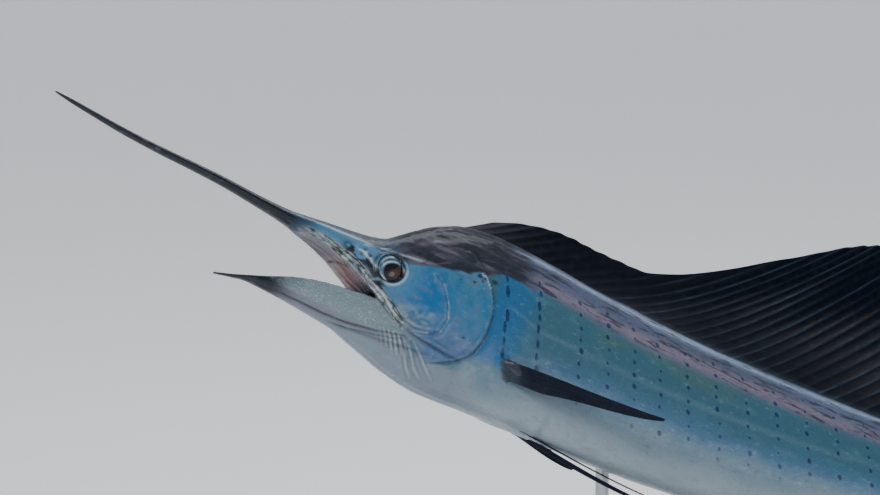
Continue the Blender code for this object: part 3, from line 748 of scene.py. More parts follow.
def mouth_mask(p, n):
    """1 on the lining of the mouth."""
    x, y, z = p[:, 0], p[:, 1], p[:, 2]
    ay = np.abs(y)
    wi = np.maximum(half(x) - 5.0, 3.0)
    rim = BOT_B(x)
    pal = rim + VAULT(x) * np.clip(1 - (y / wi) ** 2, 0, 1)
    roof = (np.abs(z - pal) < 3.0) & (n[:, 2] < -0.35) & (ay < wi + 0.5) & (x < 700) & (x > 470)
    wj = JAW_HALF(x)
    floor = ((z < JAW_TOP(x) - 0.4) & (z > JAW_TOP(x) - 17) & (ay < wj - 4.5)
             & (n[:, 2] > 0.0) & (x < 690))
    floor |= ((z < JAW_TOP(x) + 1.5) & (z > JAW_TOP(x) - 17) & (ay < wj - 4.0)
              & (x < 690) & (x > 400) & (n[:, 2] > 0.35))
    s = np.clip((x - 590.0) / 130.0, 0, 1)
    tj, bj = JAW_TOP(x), THROAT(x)
    zj = tj * 0.72 + bj * 0.28
    depth = np.minimum(body_field(x, y, z), radial(y, z, wj, zj, tj - zj, zj - bj,
                                                   4.0 + 0 * x, 2.2 + 0 * x))
    pocket = ((x > 590) & (x < 725) & (ay < 33 - 16 * s) & (depth < -2.2)
              & (np.abs(z + 62 - 2 * s) < 19 - 9 * s))
    floor &= depth < -1.6
    floor |= ((np.abs(z - JAW_TOP(x)) < 1.5) & (ay < wj - 6.0) & (x < 690)
              & (x > 400) & (n[:, 2] > 0.35))
    return (roof | floor | pocket).astype(float)


def mix(a, b, t):
    t = np.asarray(t)[:, None]
    return a * (1 - t) + np.asarray(b, float) * t


def colours(p, n, dark):
    """Broad colour of the skin, and masks for its finer pattern."""
    x, y, z = p[:, 0], p[:, 1], p[:, 2]
    ay = np.abs(y)
    nz, ny = n[:, 2], np.abs(n[:, 1])
    n1 = noise(p, (60, 30, 24), 11)
    n2 = noise(p, (22, 10, 10), 12)
    n3 = noise(p, (8, 5, 5), 13)
    zz = z + 3.0 * n1 + 2.0 * n2
    inside = mouth_mask(p, n)
    h = (z - bottom(x)) / np.maximum(top(x) - bottom(x), 1)

    # flank: green-blue, greyer and paler below
    hs = h + 0.11 * step(960, 820, x)
    c = np.tile(np.array([0.042, 0.118, 0.165]), (len(p), 1))
    c = mix(c, (0.062, 0.128, 0.125), step(-0.3, 0.7, n1 + 0.4 * n2)
            * step(20, 45, z) * step(840, 930, x) * 0.8)
    c = mix(c, (0.020, 0.115, 0.270), step(800, 812, x) * step(905, 836, x)
            * step(-104, -78, zz - 0.25 * (x - 830)) * 0.85)
    c = mix(c, (0.052, 0.135, 0.235), step(0.50, 0.34, hs + 0.03 * n1) * step(850, 950, x) * 0.9)
    c = mix(c, (0.120, 0.190, 0.245), step(0.36, 0.22, hs + 0.03 * n1) * step(780, 812, x))
    c = mix(c, (0.245, 0.300, 0.340), step(0.25, 0.06, hs + 0.04 * n1) * step(780, 812, x))
    c = mix(c, (0.190, 0.240, 0.285), step(0.1, 0.8, n2 + 0.5 * n3) * step(0.26, 0.14, h) * step(780, 812, x) * 0.55)
    # a pale thread along the side, arched behind the head
    ld, _ = path(x, z, LATERAL)
    c = mix(c, (0.13, 0.23, 0.29), np.exp(-(ld / 3.4) ** 2) * (ny > 0.3)
            * step(812, 860, x) * 0.30)
    # paler metallic sheen fields between the rows of dots
    c = mix(c, (0.085, 0.185, 0.235), step(0.2, 0.8, n2) * 0.35 * step(812, 860, x)
            * step(0.3, 0.4, h))
    # head
    hd = step(815, 806, x + 3 * n3)
    head = np.tile(np.array([0.042, 0.160, 0.290]), (len(p), 1))   # gill cover
    head = mix(head, (0.060, 0.118, 0.235), step(-30, -85, zz) * step(700, 730, x))
    head = mix(head, (0.072, 0.185, 0.270), step(5, 38, zz) * step(690, 730, x) * 0.8)
    cheek = np.exp(-(((x - 700) / 42.0) ** 2 + ((z + 32) / 42.0) ** 2))
    head = mix(head, (0.018, 0.128, 0.315), np.clip(cheek * 1.2, 0, 1))
    head = mix(head, (0.120, 0.185, 0.260), step(-40, -78, zz)
               * step(735, 690, x) * step(600, 640, x) * 0.8)
    head = mix(head, (0.150, 0.195, 0.245), step(-84, -100, zz) * step(740, 690, x))
    n4 = noise(p, (13, 9, 9), 31)
    n5 = noise(p, (5.5, 5, 5), 32)
    head = mix(head, (0.115, 0.160, 0.230), step(0.0, 0.8, n4 + 0.5 * n5) * 0.40)
    head = mix(head, (0.022, 0.105, 0.210), step(0.0, 0.8, -n4 - 0.5 * n5) * 0.45)
    pd, pa = path(x, z, PREOPERCLE)
    head = mix(head, (0.200, 0.290, 0.350), np.exp(-((pd - 2.6) / 1.1) ** 2)
               * step(-0.7, 0.2, n5 + 0.5 * n4) * 0.55)
    low = (step(-44, -60, z - 0.18 * (x - 690)) * step(-90, -80, z) * step(652, 664, x)
           * step(735, 715, x))
    head = mix(head, (0.260, 0.325, 0.360), low * step(-0.6, 0.6, n4 + 0.6 * n5) * 0.46)
    head = mix(head, (0.040, 0.075, 0.120), low * step(0.35, 0.85, -n4 - 0.8 * n5) * 0.32)
    ce = COVER_EDGE(z)
    on_cover = step(2, -2, x - ce)
    c = mix(c, head, hd * np.maximum(on_cover, step(60, 90, z)))
    # throat behind the gill membranes, and belly
    c = mix(c, (0.172, 0.220, 0.268), step(-112, -130, zz) * step(560, 700, x) * step(870, 790, x))
    # snout: blue above the lip, a dark crown
    snout = step(700, 640, x) * step(-60, -30, z)
    c = mix(c, (0.082, 0.205, 0.335), snout * step(470, 560, x))
    # silver streak from the bill's root over the eye, partly painted highlight along the snout's upper edge
    ze = np.interp(x, [440, 499, 550, 604, 637, 685, 730], [5, 8, 12, 17, 21, 26, 34])
    edge = (np.exp(-((z - ze - 1.2 * n2) / 1.7) ** 2) * step(440, 470, x)
            * step(700, 655, x) * step(-0.6, 0.2, n2 + 0.5 * n1) * 0.8)
    # dark crown, then the streaked mauve band of the back
    n6 = noise(p, (46, 9, 7), 61)
    n7 = noise(p, (24, 7, 4.5), 62)
    rag = 5.0 * n7 * step(640, 690, x) * step(930, 850, x)
    band = step(-3.0, 3.5, zz + rag - BAND_EDGE(x)) * step(440, 500, x)
    back = mix(np.tile(np.array([0.018, 0.023, 0.038]), (len(p), 1)), (0.078, 0.100, 0.172),
               step(820, 880, x)) * (1 + 0.35 * n1)[:, None]
    c = mix(c, back, band * step(600, 640, x))
    c = mix(c, (0.028, 0.050, 0.080), band * step(650, 600, x))
    # brownish crown over the eye; painted shade in the hollow on the nape
    c = mix(c, (0.018, 0.023, 0.036), band * np.exp(-((x - 715) / 52.0) ** 2)
            * step(35, 70, z) * 0.8)
    c = mix(c, (0.014, 0.018, 0.030), band * np.exp(-((x - 812) / 48.0) ** 2
            - ((z - 108 - 4 * n1) / 13.0) ** 2) * 0.75)
    c = mix(c, (0.020, 0.026, 0.044), band * np.exp(-((zz - BAND_EDGE(x) - 9) / 8.0) ** 2)
            * step(700, 745, x) * step(850, 815, x) * 0.8)
    crown = band * step(610, 670, x) * step(930, 850, x)
    # mauve streaks: painted light on the crests of the crown's folds; black streaks: painted shade in their furrows;
    # both over the crown's own streaked colour
    c = mix(c, (0.120, 0.102, 0.140), crown * step(0.05, 0.8, n6 + 0.6 * n7) * 0.78)
    c = mix(c, (0.003, 0.006, 0.016), crown * step(-0.10, 0.55, -n6 - 0.6 * n7) * 0.90)
    c = mix(c, (0.006, 0.009, 0.018), np.exp(-((zz - BAND_EDGE(x) - 4 + 3 * n6) / 5.0) ** 2)
            * step(-0.3, 0.3, n7 + 0.4 * n6) * step(700, 740, x) * step(880, 840, x) * 0.8)
    # painted highlight: a pale bluish line along the ridge beside the raised fin
    ridge = np.exp(-((h - 0.955) / 0.028) ** 2) * step(800, 860, x) * step(2000, 1700, x)
    c = mix(c, (0.300, 0.390, 0.560), band * ridge * 0.90)
    c = mix(c, (0.018, 0.026, 0.045), step(0.975, 0.995, h) * step(700, 760, x) * 0.9)
    # pinkish lower border
    c = mix(c, (0.235, 0.190, 0.245), np.exp(-((zz - BAND_EDGE(x) - 12 - 4 * n2) / 11.0) ** 2)
            * step(840, 900, x) * step(1900, 1300, x) * 0.74)
    # the silver streak, partly painted highlight
    c = mix(c, (0.42, 0.52, 0.60), np.clip(edge, 0, 1) * 0.95 * (ny > 0.1))

    # lower jaw: pale greenish grey above the fold, whiter below
    jaw = (step(3.0, -1.0, z - np.minimum(JAW_TOP(x), -66)) * step(700, 655, x)
           * (1 - inside))
    c = mix(c, (0.175, 0.235, 0.262), jaw)
    c = mix(c, (0.165, 0.178, 0.225), jaw * step(-110, -119, zz))
    c = mix(c, (0.170, 0.218, 0.262), jaw * step(-124, -132, zz) * step(540, 600, x))
    c = mix(c, (0.060, 0.075, 0.090), jaw * step(505, 405, x + 8 * n2) * 0.8)
    rimj = jaw * np.exp(-((z - JAW_TOP(x)) / 2.0) ** 2) * step(395, 430, x)
    c = mix(c, (0.055, 0.065, 0.075), np.clip(rimj, 0, 1) * 0.75)
    # painted light on the crests of the throat's folds
    fq = x + 0.74 * (z + 95.0)
    pleat = (np.sin(fq * 0.74 + 1.6 * noise(p, (40, 30, 60), 9)) * np.exp(-((fq - 664) / 26.0) ** 2)
             * step(-98, -108, z) * step(-142, -124, z) * (ny > 0.2))
    c = mix(c, (0.38, 0.44, 0.47), step(0.2, 0.8, pleat) * 0.60)
    # painted light along the crests of the gill membranes
    for pts in GILL_MEMBRANE:
        pd, pa = path(x, z, pts)
        c = mix(c, (0.38, 0.46, 0.50), np.exp(-(pd / 1.7) ** 2) * (ny > 0.15) * 0.5
                * np.sin(np.pi * np.clip(pa, 0, 1)) ** 0.5)
    # upper lip: silver with black lines; the brightest silver lines are partly painted wet highlights
    lt, rim = LIP_TOP(x), BOT_B(x)
    lip = (step(-1.5, 1.5, z - rim) * step(2.0, -1.0, z - lt)
           * step(455, 500, x) * step(690, 672, x)) * (ny > 0.2) * (1 - inside)
    t = (z - rim) / np.maximum(lt - rim, 3.0)
    wave = 0.05 * np.sin(x * 0.11 + 1.0) + 0.05 * noise(p, (26, 9, 9), 14)
    c = mix(c, (0.225, 0.285, 0.310), lip)
    frag = noise(p, (11, 40, 11), 41)
    frag2 = noise(p, (7, 40, 7), 42)
    wave = wave + 0.07 * noise(p, (12, 9, 12), 43)
    for t0, w, col, amt, sg in ((0.14, 0.070, (0.52, 0.60, 0.60), 0.95, 1),
                                (0.33, 0.120, (0.006, 0.008, 0.012), 1.00, -1),
                                (0.56, 0.080, (0.55, 0.63, 0.62), 0.95, 1),
                                (0.76, 0.110, (0.008, 0.011, 0.016), 1.00, -1),
                                (0.94, 0.060, (0.40, 0.49, 0.53), 0.8, 1)):
        thin = step(466, 560, x) * 0.6 + 0.4
        part = step(-0.35, 0.25, sg * (frag + 0.5 * frag2) + 0.18)
        c = mix(c, col, lip * np.exp(-((t - t0 - wave) / w) ** 2) * amt * thin * part)
    c = mix(c, (0.008, 0.011, 0.016), lip * step(0.30, 0.70, frag2 - 0.3 * frag) * 0.9)
    c = mix(c, (0.008, 0.010, 0.014), np.exp(-((z - rim + 0.4) / 1.8) ** 2)
            * step(470, 500, x) * step(672, 650, x) * (ny > 0.12) * 0.95)
    c = mix(c, (0.010, 0.014, 0.022), lip * np.exp(-((z - lt) / 1.5) ** 2)
            * step(540, 580, x) * 0.85)
    # black patches between the lip and the eye
    patch = np.exp(-((z - lt - 6.0 - 3 * n2) / 6.5) ** 2) * step(535, 560, x) * step(640, 618, x)
    patch = patch * step(-0.35, 0.15, n2 + 0.7 * n3 + 0.25)
    c = mix(c, (0.010, 0.012, 0.018), np.clip(patch * 1.5, 0, 1) * (ny > 0.2))
    # painted wet highlight: a white line above the black patches
    white = np.exp(-((z - lt - 15.0 - 2 * n3) / 2.2) ** 2) * step(556, 572, x) * step(618, 600, x)
    c = mix(c, (0.52, 0.60, 0.62), np.clip(white * 1.1, 0, 1) * (ny > 0.2)
            * step(-0.5, 0.3, n3 + 0.3))
    # eye rim
    er = np.hypot(x - EYE_X, z - EYE_Z)
    eside = (ay > 30)
    c = mix(c, (0.50, 0.60, 0.66), np.exp(-((er - 26.6) / 1.5) ** 2) * eside
            * step(0.1, 0.7, ((x - EYE_X) - 0.7 * (z - EYE_Z)) / 34.0 + 0.2 * n3) * 0.62)
    c = mix(c, (0.012, 0.016, 0.022), np.exp(-((er - 28.4) / 2.2) ** 2) * eside
            * step(0.2, 0.8, (-(x - EYE_X) + 0.9 * (z - EYE_Z)) / 38.0 + 0.25 * n3) * 0.8)
    c = mix(c, (0.008, 0.009, 0.012), step(24.8, 23.4, er) * eside)
    # bill: almost black; blue on the upward faces of its root, partly its colour and partly a painted sheen
    bl = step(516, 452, x + 10 * n2)
    c = mix(c, (0.006, 0.009, 0.015), bl)
    c = mix(c, (0.026, 0.080, 0.150), np.exp(-((x - 472) / 46.0) ** 2)
            * step(0.1, 0.6, nz) * 0.6)
    # lining of the mouth
    pink = np.array([0.285, 0.240, 0.270])
    m = pink * (1 + 0.25 * n2)[:, None]
    m = mix(m, (0.120, 0.125, 0.150), step(560, 500, x) * 0.8)
    up = z > JAW_TOP(x) + 4
    fl = np.exp(-(((x - 588) / 20.0) ** 2 + ((ay - 17) / 11.0) ** 2))
    m = mix(m, (0.225, 0.105, 0.115), np.clip(fl * 1.1, 0, 1) * up * 0.85)
    m = mix(m, (0.20, 0.125, 0.085), np.exp(-(((x - 570) / 9.0) ** 2
            + ((ay - 6) / 7.0) ** 2)) * 0.8 * up)
    cd, _ = path(x, y, [(548, 22), (560, 10), (572, -2), (560, -14), (548, -24)])
    m = mix(m, (0.035, 0.018, 0.020), np.exp(-(cd / 2.4) ** 2) * up * 0.65)
    # painted shade deeper in the mouth, where it runs on as a pocket
    m = mix(m, (0.030, 0.036, 0.056), step(590, 616, x) * 0.92)
    m = mix(m, (0.030, 0.014, 0.018), step(622, 664, x) * 0.9)
    m = mix(m, (0.130, 0.080, 0.092), (~up) * 0.7)
    m = mix(m, (0.085, 0.095, 0.110), step(470, 430, x))
    c = mix(c, m, inside)
    # painted shade in the folds, grooves, nostrils and pleats, from relief()'s dark mask
    c = mix(c, (0.008, 0.012, 0.020), np.clip(dark, 0, 1) * 0.86 * (1 - inside))

    for sx, sz, r, k in ((769, 45, 3.6, 0.85), (776, 38, 2.6, 0.7), (763, 30, 3.2, 0.8),
                         (778, -64, 2.4, 0.8), (752, 52, 3.0, 0.7), (741, 24, 1.8, 0.5),
                         (797, 48, 4.2, 0.8), (777, 47, 5.5, 0.9)):
        rr = np.hypot((x - sx) / 1.25, z - sz) + 1.2 * n3
        c = mix(c, (0.008, 0.020, 0.050), step(r + 1.0, r - 1.0, rr) * k * (ny > 0.3))
    # painted glints: short pale lines by the dark spots on the gill cover
    for pts, k in (([(694, 14), (699, 9), (702, 2)], 0.10), ([(778, 50), (786, 42), (792, 34)], 0.9),
                   ([(772, 50), (776, 47)], 0.9)):
        ld, _ = path(x, z, pts)
        c = mix(c, (0.45, 0.56, 0.62), np.exp(-(ld / 1.5) ** 2) * k * (ny > 0.3))

    # fleshy root of the pectoral, dark where the blade leaves it
    st = step(3.0, -1.0, stub_field(x, ay, z)) * (x > 820) * (x < 930) * (z < -30)
    out = step(57.0, 63.0, ay + 1.5 * n3)
    c = mix(c, (0.016, 0.032, 0.052), st * step(52.0, 58.0, ay + 1.5 * n3) * 0.9)
    c = mix(c, (0.008, 0.012, 0.022), st * out * 0.95)
    # masks: streaks, bars, speckle, and silver with painted wet glints
    streak = np.clip(band * step(560, 640, x), 0, 1) * (1 - inside)
    streak = np.maximum(streak, st * step(50.0, 58.0, ay))
    bars = (step(0, 6, x - COVER_EDGE(np.clip(z, -150, 60)) - 5) * step(0.20, 0.27, h)
            * step(-6, 6, BAND_EDGE(x) + 14 + 18 * step(845, 900, x) - z) * step(2240, 2150, x))
    at = x + 0.28 * np.clip(z, -90, 90)
    where = np.array([779.0, 833, 896, 977, 1030, 1083, 1131] + [1185.0 + 56 * i for i in range(21)])
    barx = np.interp(at, where, np.arange(len(where)) - 1.0)
    gap = np.interp(at, (where[1:] + where[:-1]) / 2, np.diff(where)) / 100.0
    speck = np.clip(jaw * step(-118, -108, z) * step(430, 480, x), 0, 1)
    # painted wet glints by the corner of the jaw
    wet = (np.exp(-(((x - 655) / 26.0) ** 2 + ((z + 70 + 0.6 * (x - 655)) / 15.0) ** 2))
           * step(600, 625, x) * (ny > 0.2))
    silver_and_glint = np.clip(lip * 0.8 + 0.3 * edge + 0.5 * white + 0.75 * wet * (1 - inside), 0, 1)
    lipuv = np.stack([x / 70.0, t * 1.5, 0 * x], 1)
    backuv = np.stack([x / 100.0, back_arc(x, y, z) / 100.0, 1.7 * (y > 0)], 1)
    grey = c @ np.array([0.25, 0.65, 0.10])
    c = (grey[:, None] + (c - grey[:, None]) * 1.06) * 0.86
    return np.clip(c, 0, 1), streak, bars, speck, silver_and_glint, inside, barx, gap, lipuv, backuv


# ----------------------------------------------------------------------
# mesh and material helpers
# ----------------------------------------------------------------------
COLL = bpy.data.collections.new("sailfish_looks")
bpy.context.scene.collection.children.link(COLL)


def add_mesh(name, canon, faces, attrs, mat, closed=True, vectors=None):
    """A smooth mesh from points of the straight fish, with its attributes."""
    world = pose(canon)
    me = bpy.data.meshes.new(name)
    me.from_pydata([tuple(p) for p in world], [], [tuple(int(i) for i in f) for f in faces])
    a = me.attributes.new("canon", "FLOAT_VECTOR", "POINT")
    a.data.foreach_set("vector", (canon / 100.0).astype(np.float32).ravel())
    for key, val in (vectors or {}).items():
        a = me.attributes.new(key, "FLOAT_VECTOR", "POINT")
        a.data.foreach_set("vector", np.asarray(val, np.float32).ravel())
    for key, val in attrs.items():
        val = np.asarray(val, np.float32)
        if val.ndim == 2:
            a = me.attributes.new(key, "FLOAT_COLOR", "POINT")
            rgba = np.concatenate([val[:, :3], np.ones((len(val), 1), np.float32)], 1)
            a.data.foreach_set("color", rgba.ravel())
        else:
            a = me.attributes.new(key, "FLOAT", "POINT")
            a.data.foreach_set("value", val)
    me.validate()
    me.polygons.foreach_set("use_smooth", [True] * len(me.polygons))
    me.update()
    if closed:
        import bmesh
        bm = bmesh.new()
        bm.from_mesh(me)
        bmesh.ops.recalc_face_normals(bm, faces=bm.faces)
        if bm.calc_volume(signed=True) < 0:
            bmesh.ops.reverse_faces(bm, faces=bm.faces)
        bm.to_mesh(me)
        bm.free()
    ob = bpy.data.objects.new(name, me)
    COLL.objects.link(ob)
    if mat:
        me.materials.append(mat)
    return ob


class Nodes:
    """A small builder of shader nodes."""

    def __init__(self, name):
        self.mat = bpy.data.materials.new(name)
        self.mat.use_nodes = True
        self.t = self.mat.node_tree
        self.t.nodes.clear()
        self.out = self.t.nodes.new("ShaderNodeOutputMaterial")
        self.bsdf = self.t.nodes.new("ShaderNodeBsdfPrincipled")
        self.link(self.bsdf.outputs[0], self.out.inputs[0])

    def link(self, a, b):
        self.t.links.new(a, b)

    def put(self, socket, v):
        if isinstance(v, bpy.types.NodeSocket):
            self.link(v, socket)
        elif isinstance(v, (tuple, list)):
            socket.default_value = tuple(v) + (1.0,) if (
                len(v) == 3 and len(socket.default_value) == 4) else tuple(v)
        else:
            socket.default_value = v

    def attr(self, name, out="Fac"):
        n = self.t.nodes.new("ShaderNodeAttribute")
        n.attribute_name = name
        return n.outputs[out]

    def math(self, op, a, b=0.5, c=None, clamp=False):
        n = self.t.nodes.new("ShaderNodeMath")
        n.operation = op
        n.use_clamp = clamp
        self.put(n.inputs[0], a)
        self.put(n.inputs[1], b)
        if c is not None:
            self.put(n.inputs[2], c)
        return n.outputs[0]

    def mix(self, a, b, fac, blend="MIX"):
        n = self.t.nodes.new("ShaderNodeMix")
        n.data_type = "RGBA"
        n.blend_type = blend
        n.clamp_factor = True
        self.put(n.inputs[0], fac)
        self.put(n.inputs[6], a)
        self.put(n.inputs[7], b)
        return n.outputs[2]

    def scale(self, vec, s):
        n = self.t.nodes.new("ShaderNodeMapping")
        self.link(vec, n.inputs[0])
        n.inputs["Scale"].default_value = s
        return n.outputs[0]

    def noise(self, vec, scale, detail=3.0, rough=0.55, distort=0.0):
        n = self.t.nodes.new("ShaderNodeTexNoise")
        self.link(vec, n.inputs["Vector"])
        n.inputs["Scale"].default_value = scale
        n.inputs["Detail"].default_value = detail
        n.inputs["Roughness"].default_value = rough
        n.inputs["Distortion"].default_value = distort
        return n.outputs[0]

    def voronoi(self, vec, scale, feature="F1", rand=1.0):
        n = self.t.nodes.new("ShaderNodeTexVoronoi")
        n.feature = feature
        self.link(vec, n.inputs["Vector"])
        n.inputs["Scale"].default_value = scale
        n.inputs["Randomness"].default_value = rand
        return n.outputs[0]

    def ramp(self, fac, lo, hi, a=0.0, b=1.0, smooth_=True):
        n = self.t.nodes.new("ShaderNodeMapRange")
        n.interpolation_type = "SMOOTHSTEP" if smooth_ else "LINEAR"
        n.clamp = True if not smooth_ else n.clamp
        self.put(n.inputs[0], fac)
        n.inputs[1].default_value = lo
        n.inputs[2].default_value = hi
        n.inputs[3].default_value = a
        n.inputs[4].default_value = b
        return n.outputs[0]

    def random(self, a, b):
        """Three random numbers for each pair of whole numbers."""
        n = self.t.nodes.new("ShaderNodeCombineXYZ")
        self.put(n.inputs[0], a)
        self.put(n.inputs[1], b)
        w = self.t.nodes.new("ShaderNodeTexWhiteNoise")
        w.noise_dimensions = "3D"
        self.link(n.outputs[0], w.inputs["Vector"])
        c = self.t.nodes.new("ShaderNodeSeparateColor")
        self.link(w.outputs["Color"], c.inputs[0])
        return c.outputs

    def split(self, vec):
        n = self.t.nodes.new("ShaderNodeSeparateXYZ")
        self.link(vec, n.inputs[0])
        return n.outputs

    def bump(self, height, strength, distance):
        n = self.t.nodes.new("ShaderNodeBump")
        n.inputs["Strength"].default_value = strength
        n.inputs["Distance"].default_value = distance
        self.link(height, n.inputs["Height"])
        return n.outputs[0]


def skin_material():
    m = Nodes("sailfish_skin")
    base = m.attr("tint", "Color")
    canon = m.attr("canon", "Vector")
    streak, bars = m.attr("streak"), m.attr("bars")
    speck, silver_and_glint = m.attr("speck"), m.attr("silver_and_glint")
    inside = m.attr("inside")
    c = base
    # soft mottling everywhere
    n1 = m.noise(m.scale(canon, (1.0, 1.0, 1.6)), 9.0, 4.0)
    c = m.mix(c, m.mix(c, (0.0, 0.0, 0.0), 0.30), m.ramp(n1, 0.55, 0.80, 0.0, 0.8))
    c = m.mix(c, m.mix(c, (0.40, 0.55, 0.64), 0.14), m.math("MULTIPLY", m.ramp(n1, 0.45, 0.22, 0.0, 0.9), m.math("SUBTRACT", 1.0, m.math("MULTIPLY", streak, 0.85))))
    # long streaks on the back: the skin's own streaking, with painted shade in the furrows (dark) and painted light
    # on their crests (mauve)
    backuv = m.attr("backuv", "Vector")
    st = m.noise(m.scale(backuv, (0.55, 3.2, 1.0)), 4.2, 4.0, 0.60, 0.35)
    c = m.mix(c, (0.012, 0.014, 0.026), m.math("MULTIPLY", streak, m.ramp(st, 0.50, 0.64, 0.0, 0.85)))
    c = m.mix(c, (0.085, 0.080, 0.104), m.math("MULTIPLY", streak, m.ramp(st, 0.46, 0.32, 0.0, 0.42)))
    fine = m.noise(m.scale(backuv, (0.9, 7.0, 1.0)), 12.0, 3.0, 0.6)
    c = m.mix(c, (0.012, 0.014, 0.024), m.math("MULTIPLY", streak, m.ramp(fine, 0.54, 0.68, 0.0, 0.55)))
    # upright rows of dark blue dots, each a little out of place
    s = m.split(canon)
    bx, gap = m.attr("barx"), m.attr("gap")
    fb = m.math("FLOOR", m.math("ADD", bx, 0.5))
    r0 = m.random(fb, 0.0)
    zc = m.math("ADD", m.math("MULTIPLY", s[2], 1.0 / 0.205), m.math("MULTIPLY", r0[0], 7.0))
    fz = m.math("FLOOR", zc)
    r = m.random(fb, fz)
    db = m.math("MULTIPLY", m.math("SUBTRACT", bx, fb), gap)
    db = m.math("SUBTRACT", db, m.math("MULTIPLY", m.math("SUBTRACT", r[0], 0.5), 0.045))
    dz = m.math("SUBTRACT", m.math("SUBTRACT", zc, fz), 0.5)
    dz = m.math("MULTIPLY", dz, 0.205)
    dz = m.math("SUBTRACT", dz, m.math("MULTIPLY", m.math("SUBTRACT", r[1], 0.5), 0.055))
    dz = m.math("MULTIPLY", dz, m.ramp(bx, 0.4, 2.4, 0.34, 0.85))
    wob = m.noise(canon, 16.0, 2.0)
    dd = m.math("SQRT", m.math("ADD", m.math("MULTIPLY", db, db), m.math("MULTIPLY", dz, dz)))
    dd = m.math("ADD", dd, m.math("MULTIPLY", m.math("SUBTRACT", wob, 0.5), 0.022))
    rad = m.math("ADD", m.math("MULTIPLY", r[2], 0.024), m.ramp(bx, 0.4, 2.4, 0.026, 0.020))
    dot = m.math("DIVIDE", m.math("SUBTRACT", rad, dd), 0.012, clamp=True)
    dot = m.math("MULTIPLY", dot, m.math("GREATER_THAN", r[2], 0.10))
    c = m.mix(c, (0.006, 0.020, 0.075), m.math("MULTIPLY", m.math("MULTIPLY", bars, dot), 0.90))
    # pale greenish grains of the lower jaw, partly painted glints on the wet skin
    g = m.noise(m.scale(canon, (0.55, 1.0, 1.0)), 58.0, 4.0, 0.68)
    field = m.ramp(m.noise(m.scale(canon, (0.6, 1.0, 1.4)), 13.0, 3.0, 0.6), 0.42, 0.60, 0.12, 1.0)
    c = m.mix(c, (0.42, 0.49, 0.46), m.math("MULTIPLY", m.math("MULTIPLY", speck, field), m.ramp(g, 0.52, 0.66, 0.0, 0.75)))
    c = m.mix(c, (0.10, 0.13, 0.15), m.math("MULTIPLY", speck, m.ramp(g, 0.46, 0.34, 0.0, 0.55)))
    # painted wet glints: silver flecks with black between them, on the lip, the snout's streak and by the jaw's
    # corner
    lipuv = m.attr("lipuv", "Vector")
    g2 = m.noise(m.scale(lipuv, (0.6, 0.8, 1.0)), 7.0, 2.0, 0.5, 0.5)
    c = m.mix(c, (0.014, 0.018, 0.024), m.math("MULTIPLY", silver_and_glint, m.ramp(g2, 0.54, 0.62, 0.0, 0.60)))
    c = m.mix(c, (0.60, 0.67, 0.68), m.math("MULTIPLY", silver_and_glint, m.ramp(g2, 0.42, 0.34, 0.0, 0.45)))
    m.link(c, m.bsdf.inputs["Base Color"])
    # slivers of scale, and a wet film
    sc = m.voronoi(m.scale(canon, (1.0, 5.5, 5.5)), 10.0)
    gr = m.noise(canon, 45.0, 4.0, 0.6)
    h = m.math("ADD", m.math("MULTIPLY", sc, 0.35), m.math("MULTIPLY", gr, 0.9))
    h = m.math("ADD", h, m.math("MULTIPLY", m.math("MULTIPLY", st, streak), 0.5))
    m.link(m.bump(h, 0.35, 0.0012), m.bsdf.inputs["Normal"])
    r = m.ramp(n1, 0.3, 0.75, 0.24, 0.42)
    r = m.math("ADD", r, m.math("MULTIPLY", streak, 0.38))
    m.link(m.math("ADD", r, m.math("MULTIPLY", inside, -0.08)), m.bsdf.inputs["Roughness"])
    m.bsdf.inputs["Coat Weight"].default_value = 0.14
    m.bsdf.inputs["Coat Roughness"].default_value = 0.10
    m.bsdf.inputs["Specular IOR Level"].default_value = 0.30
    return m.mat


def fin_material(name, dark, pale, bump_s=0.3, streak=1.0):
    m = Nodes(name)
    ray = m.attr("ray")
    root = m.attr("root")
    canon = m.attr("canon", "Vector")
    uv = m.attr("fin", "Vector")
    n1 = m.noise(m.scale(uv, (26.0, 3.0, 1.0)), 3.0, 4.0, 0.6)
    n2 = m.noise(canon, 6.0, 4.0, 0.6)
    # ribs catch more or less light from one to the next
    n3 = m.noise(m.scale(uv, (11.0, 0.6, 1.0)), 1.7, 2.0, 0.5)
    glint = m.math("MULTIPLY", m.ramp(n1, 0.25, 0.7, 0.25, 0.95), m.ramp(n3, 0.36, 0.66, 0.10, 1.25))
    c = m.mix(dark, pale, m.math("MULTIPLY", m.math("MULTIPLY", ray, ray), glint))
    c = m.mix(c, m.mix(c, (0.004, 0.007, 0.020), 0.7), m.ramp(n2, 0.48, 0.72, 0.0, 0.8))
    c = m.mix(c, (0.012, 0.026, 0.060), m.math("MULTIPLY", m.ramp(n2, 0.46, 0.28), 0.5 * streak))
    c = m.mix(c, (0.085, 0.150, 0.200), m.math("MULTIPLY", root, 0.42))
    m.link(c, m.bsdf.inputs["Base Color"])
    fine = m.noise(m.scale(uv, (60.0, 4.0, 1.0)), 5.0, 3.0, 0.6)
    gr = m.noise(canon, 30.0, 3.0, 0.6)
    h = m.math("ADD", m.math("MULTIPLY", fine, 0.6), m.math("MULTIPLY", gr, 0.6))
    m.link(m.bump(h, bump_s, 0.0012), m.bsdf.inputs["Normal"])
    m.link(m.ramp(n2, 0.3, 0.7, 0.30, 0.46), m.bsdf.inputs["Roughness"])
    m.bsdf.inputs["Specular IOR Level"].default_value = 0.08
    m.bsdf.inputs["Coat Weight"].default_value = 0.0
    m.bsdf.inputs["Coat Roughness"].default_value = 0.12
    return m.mat


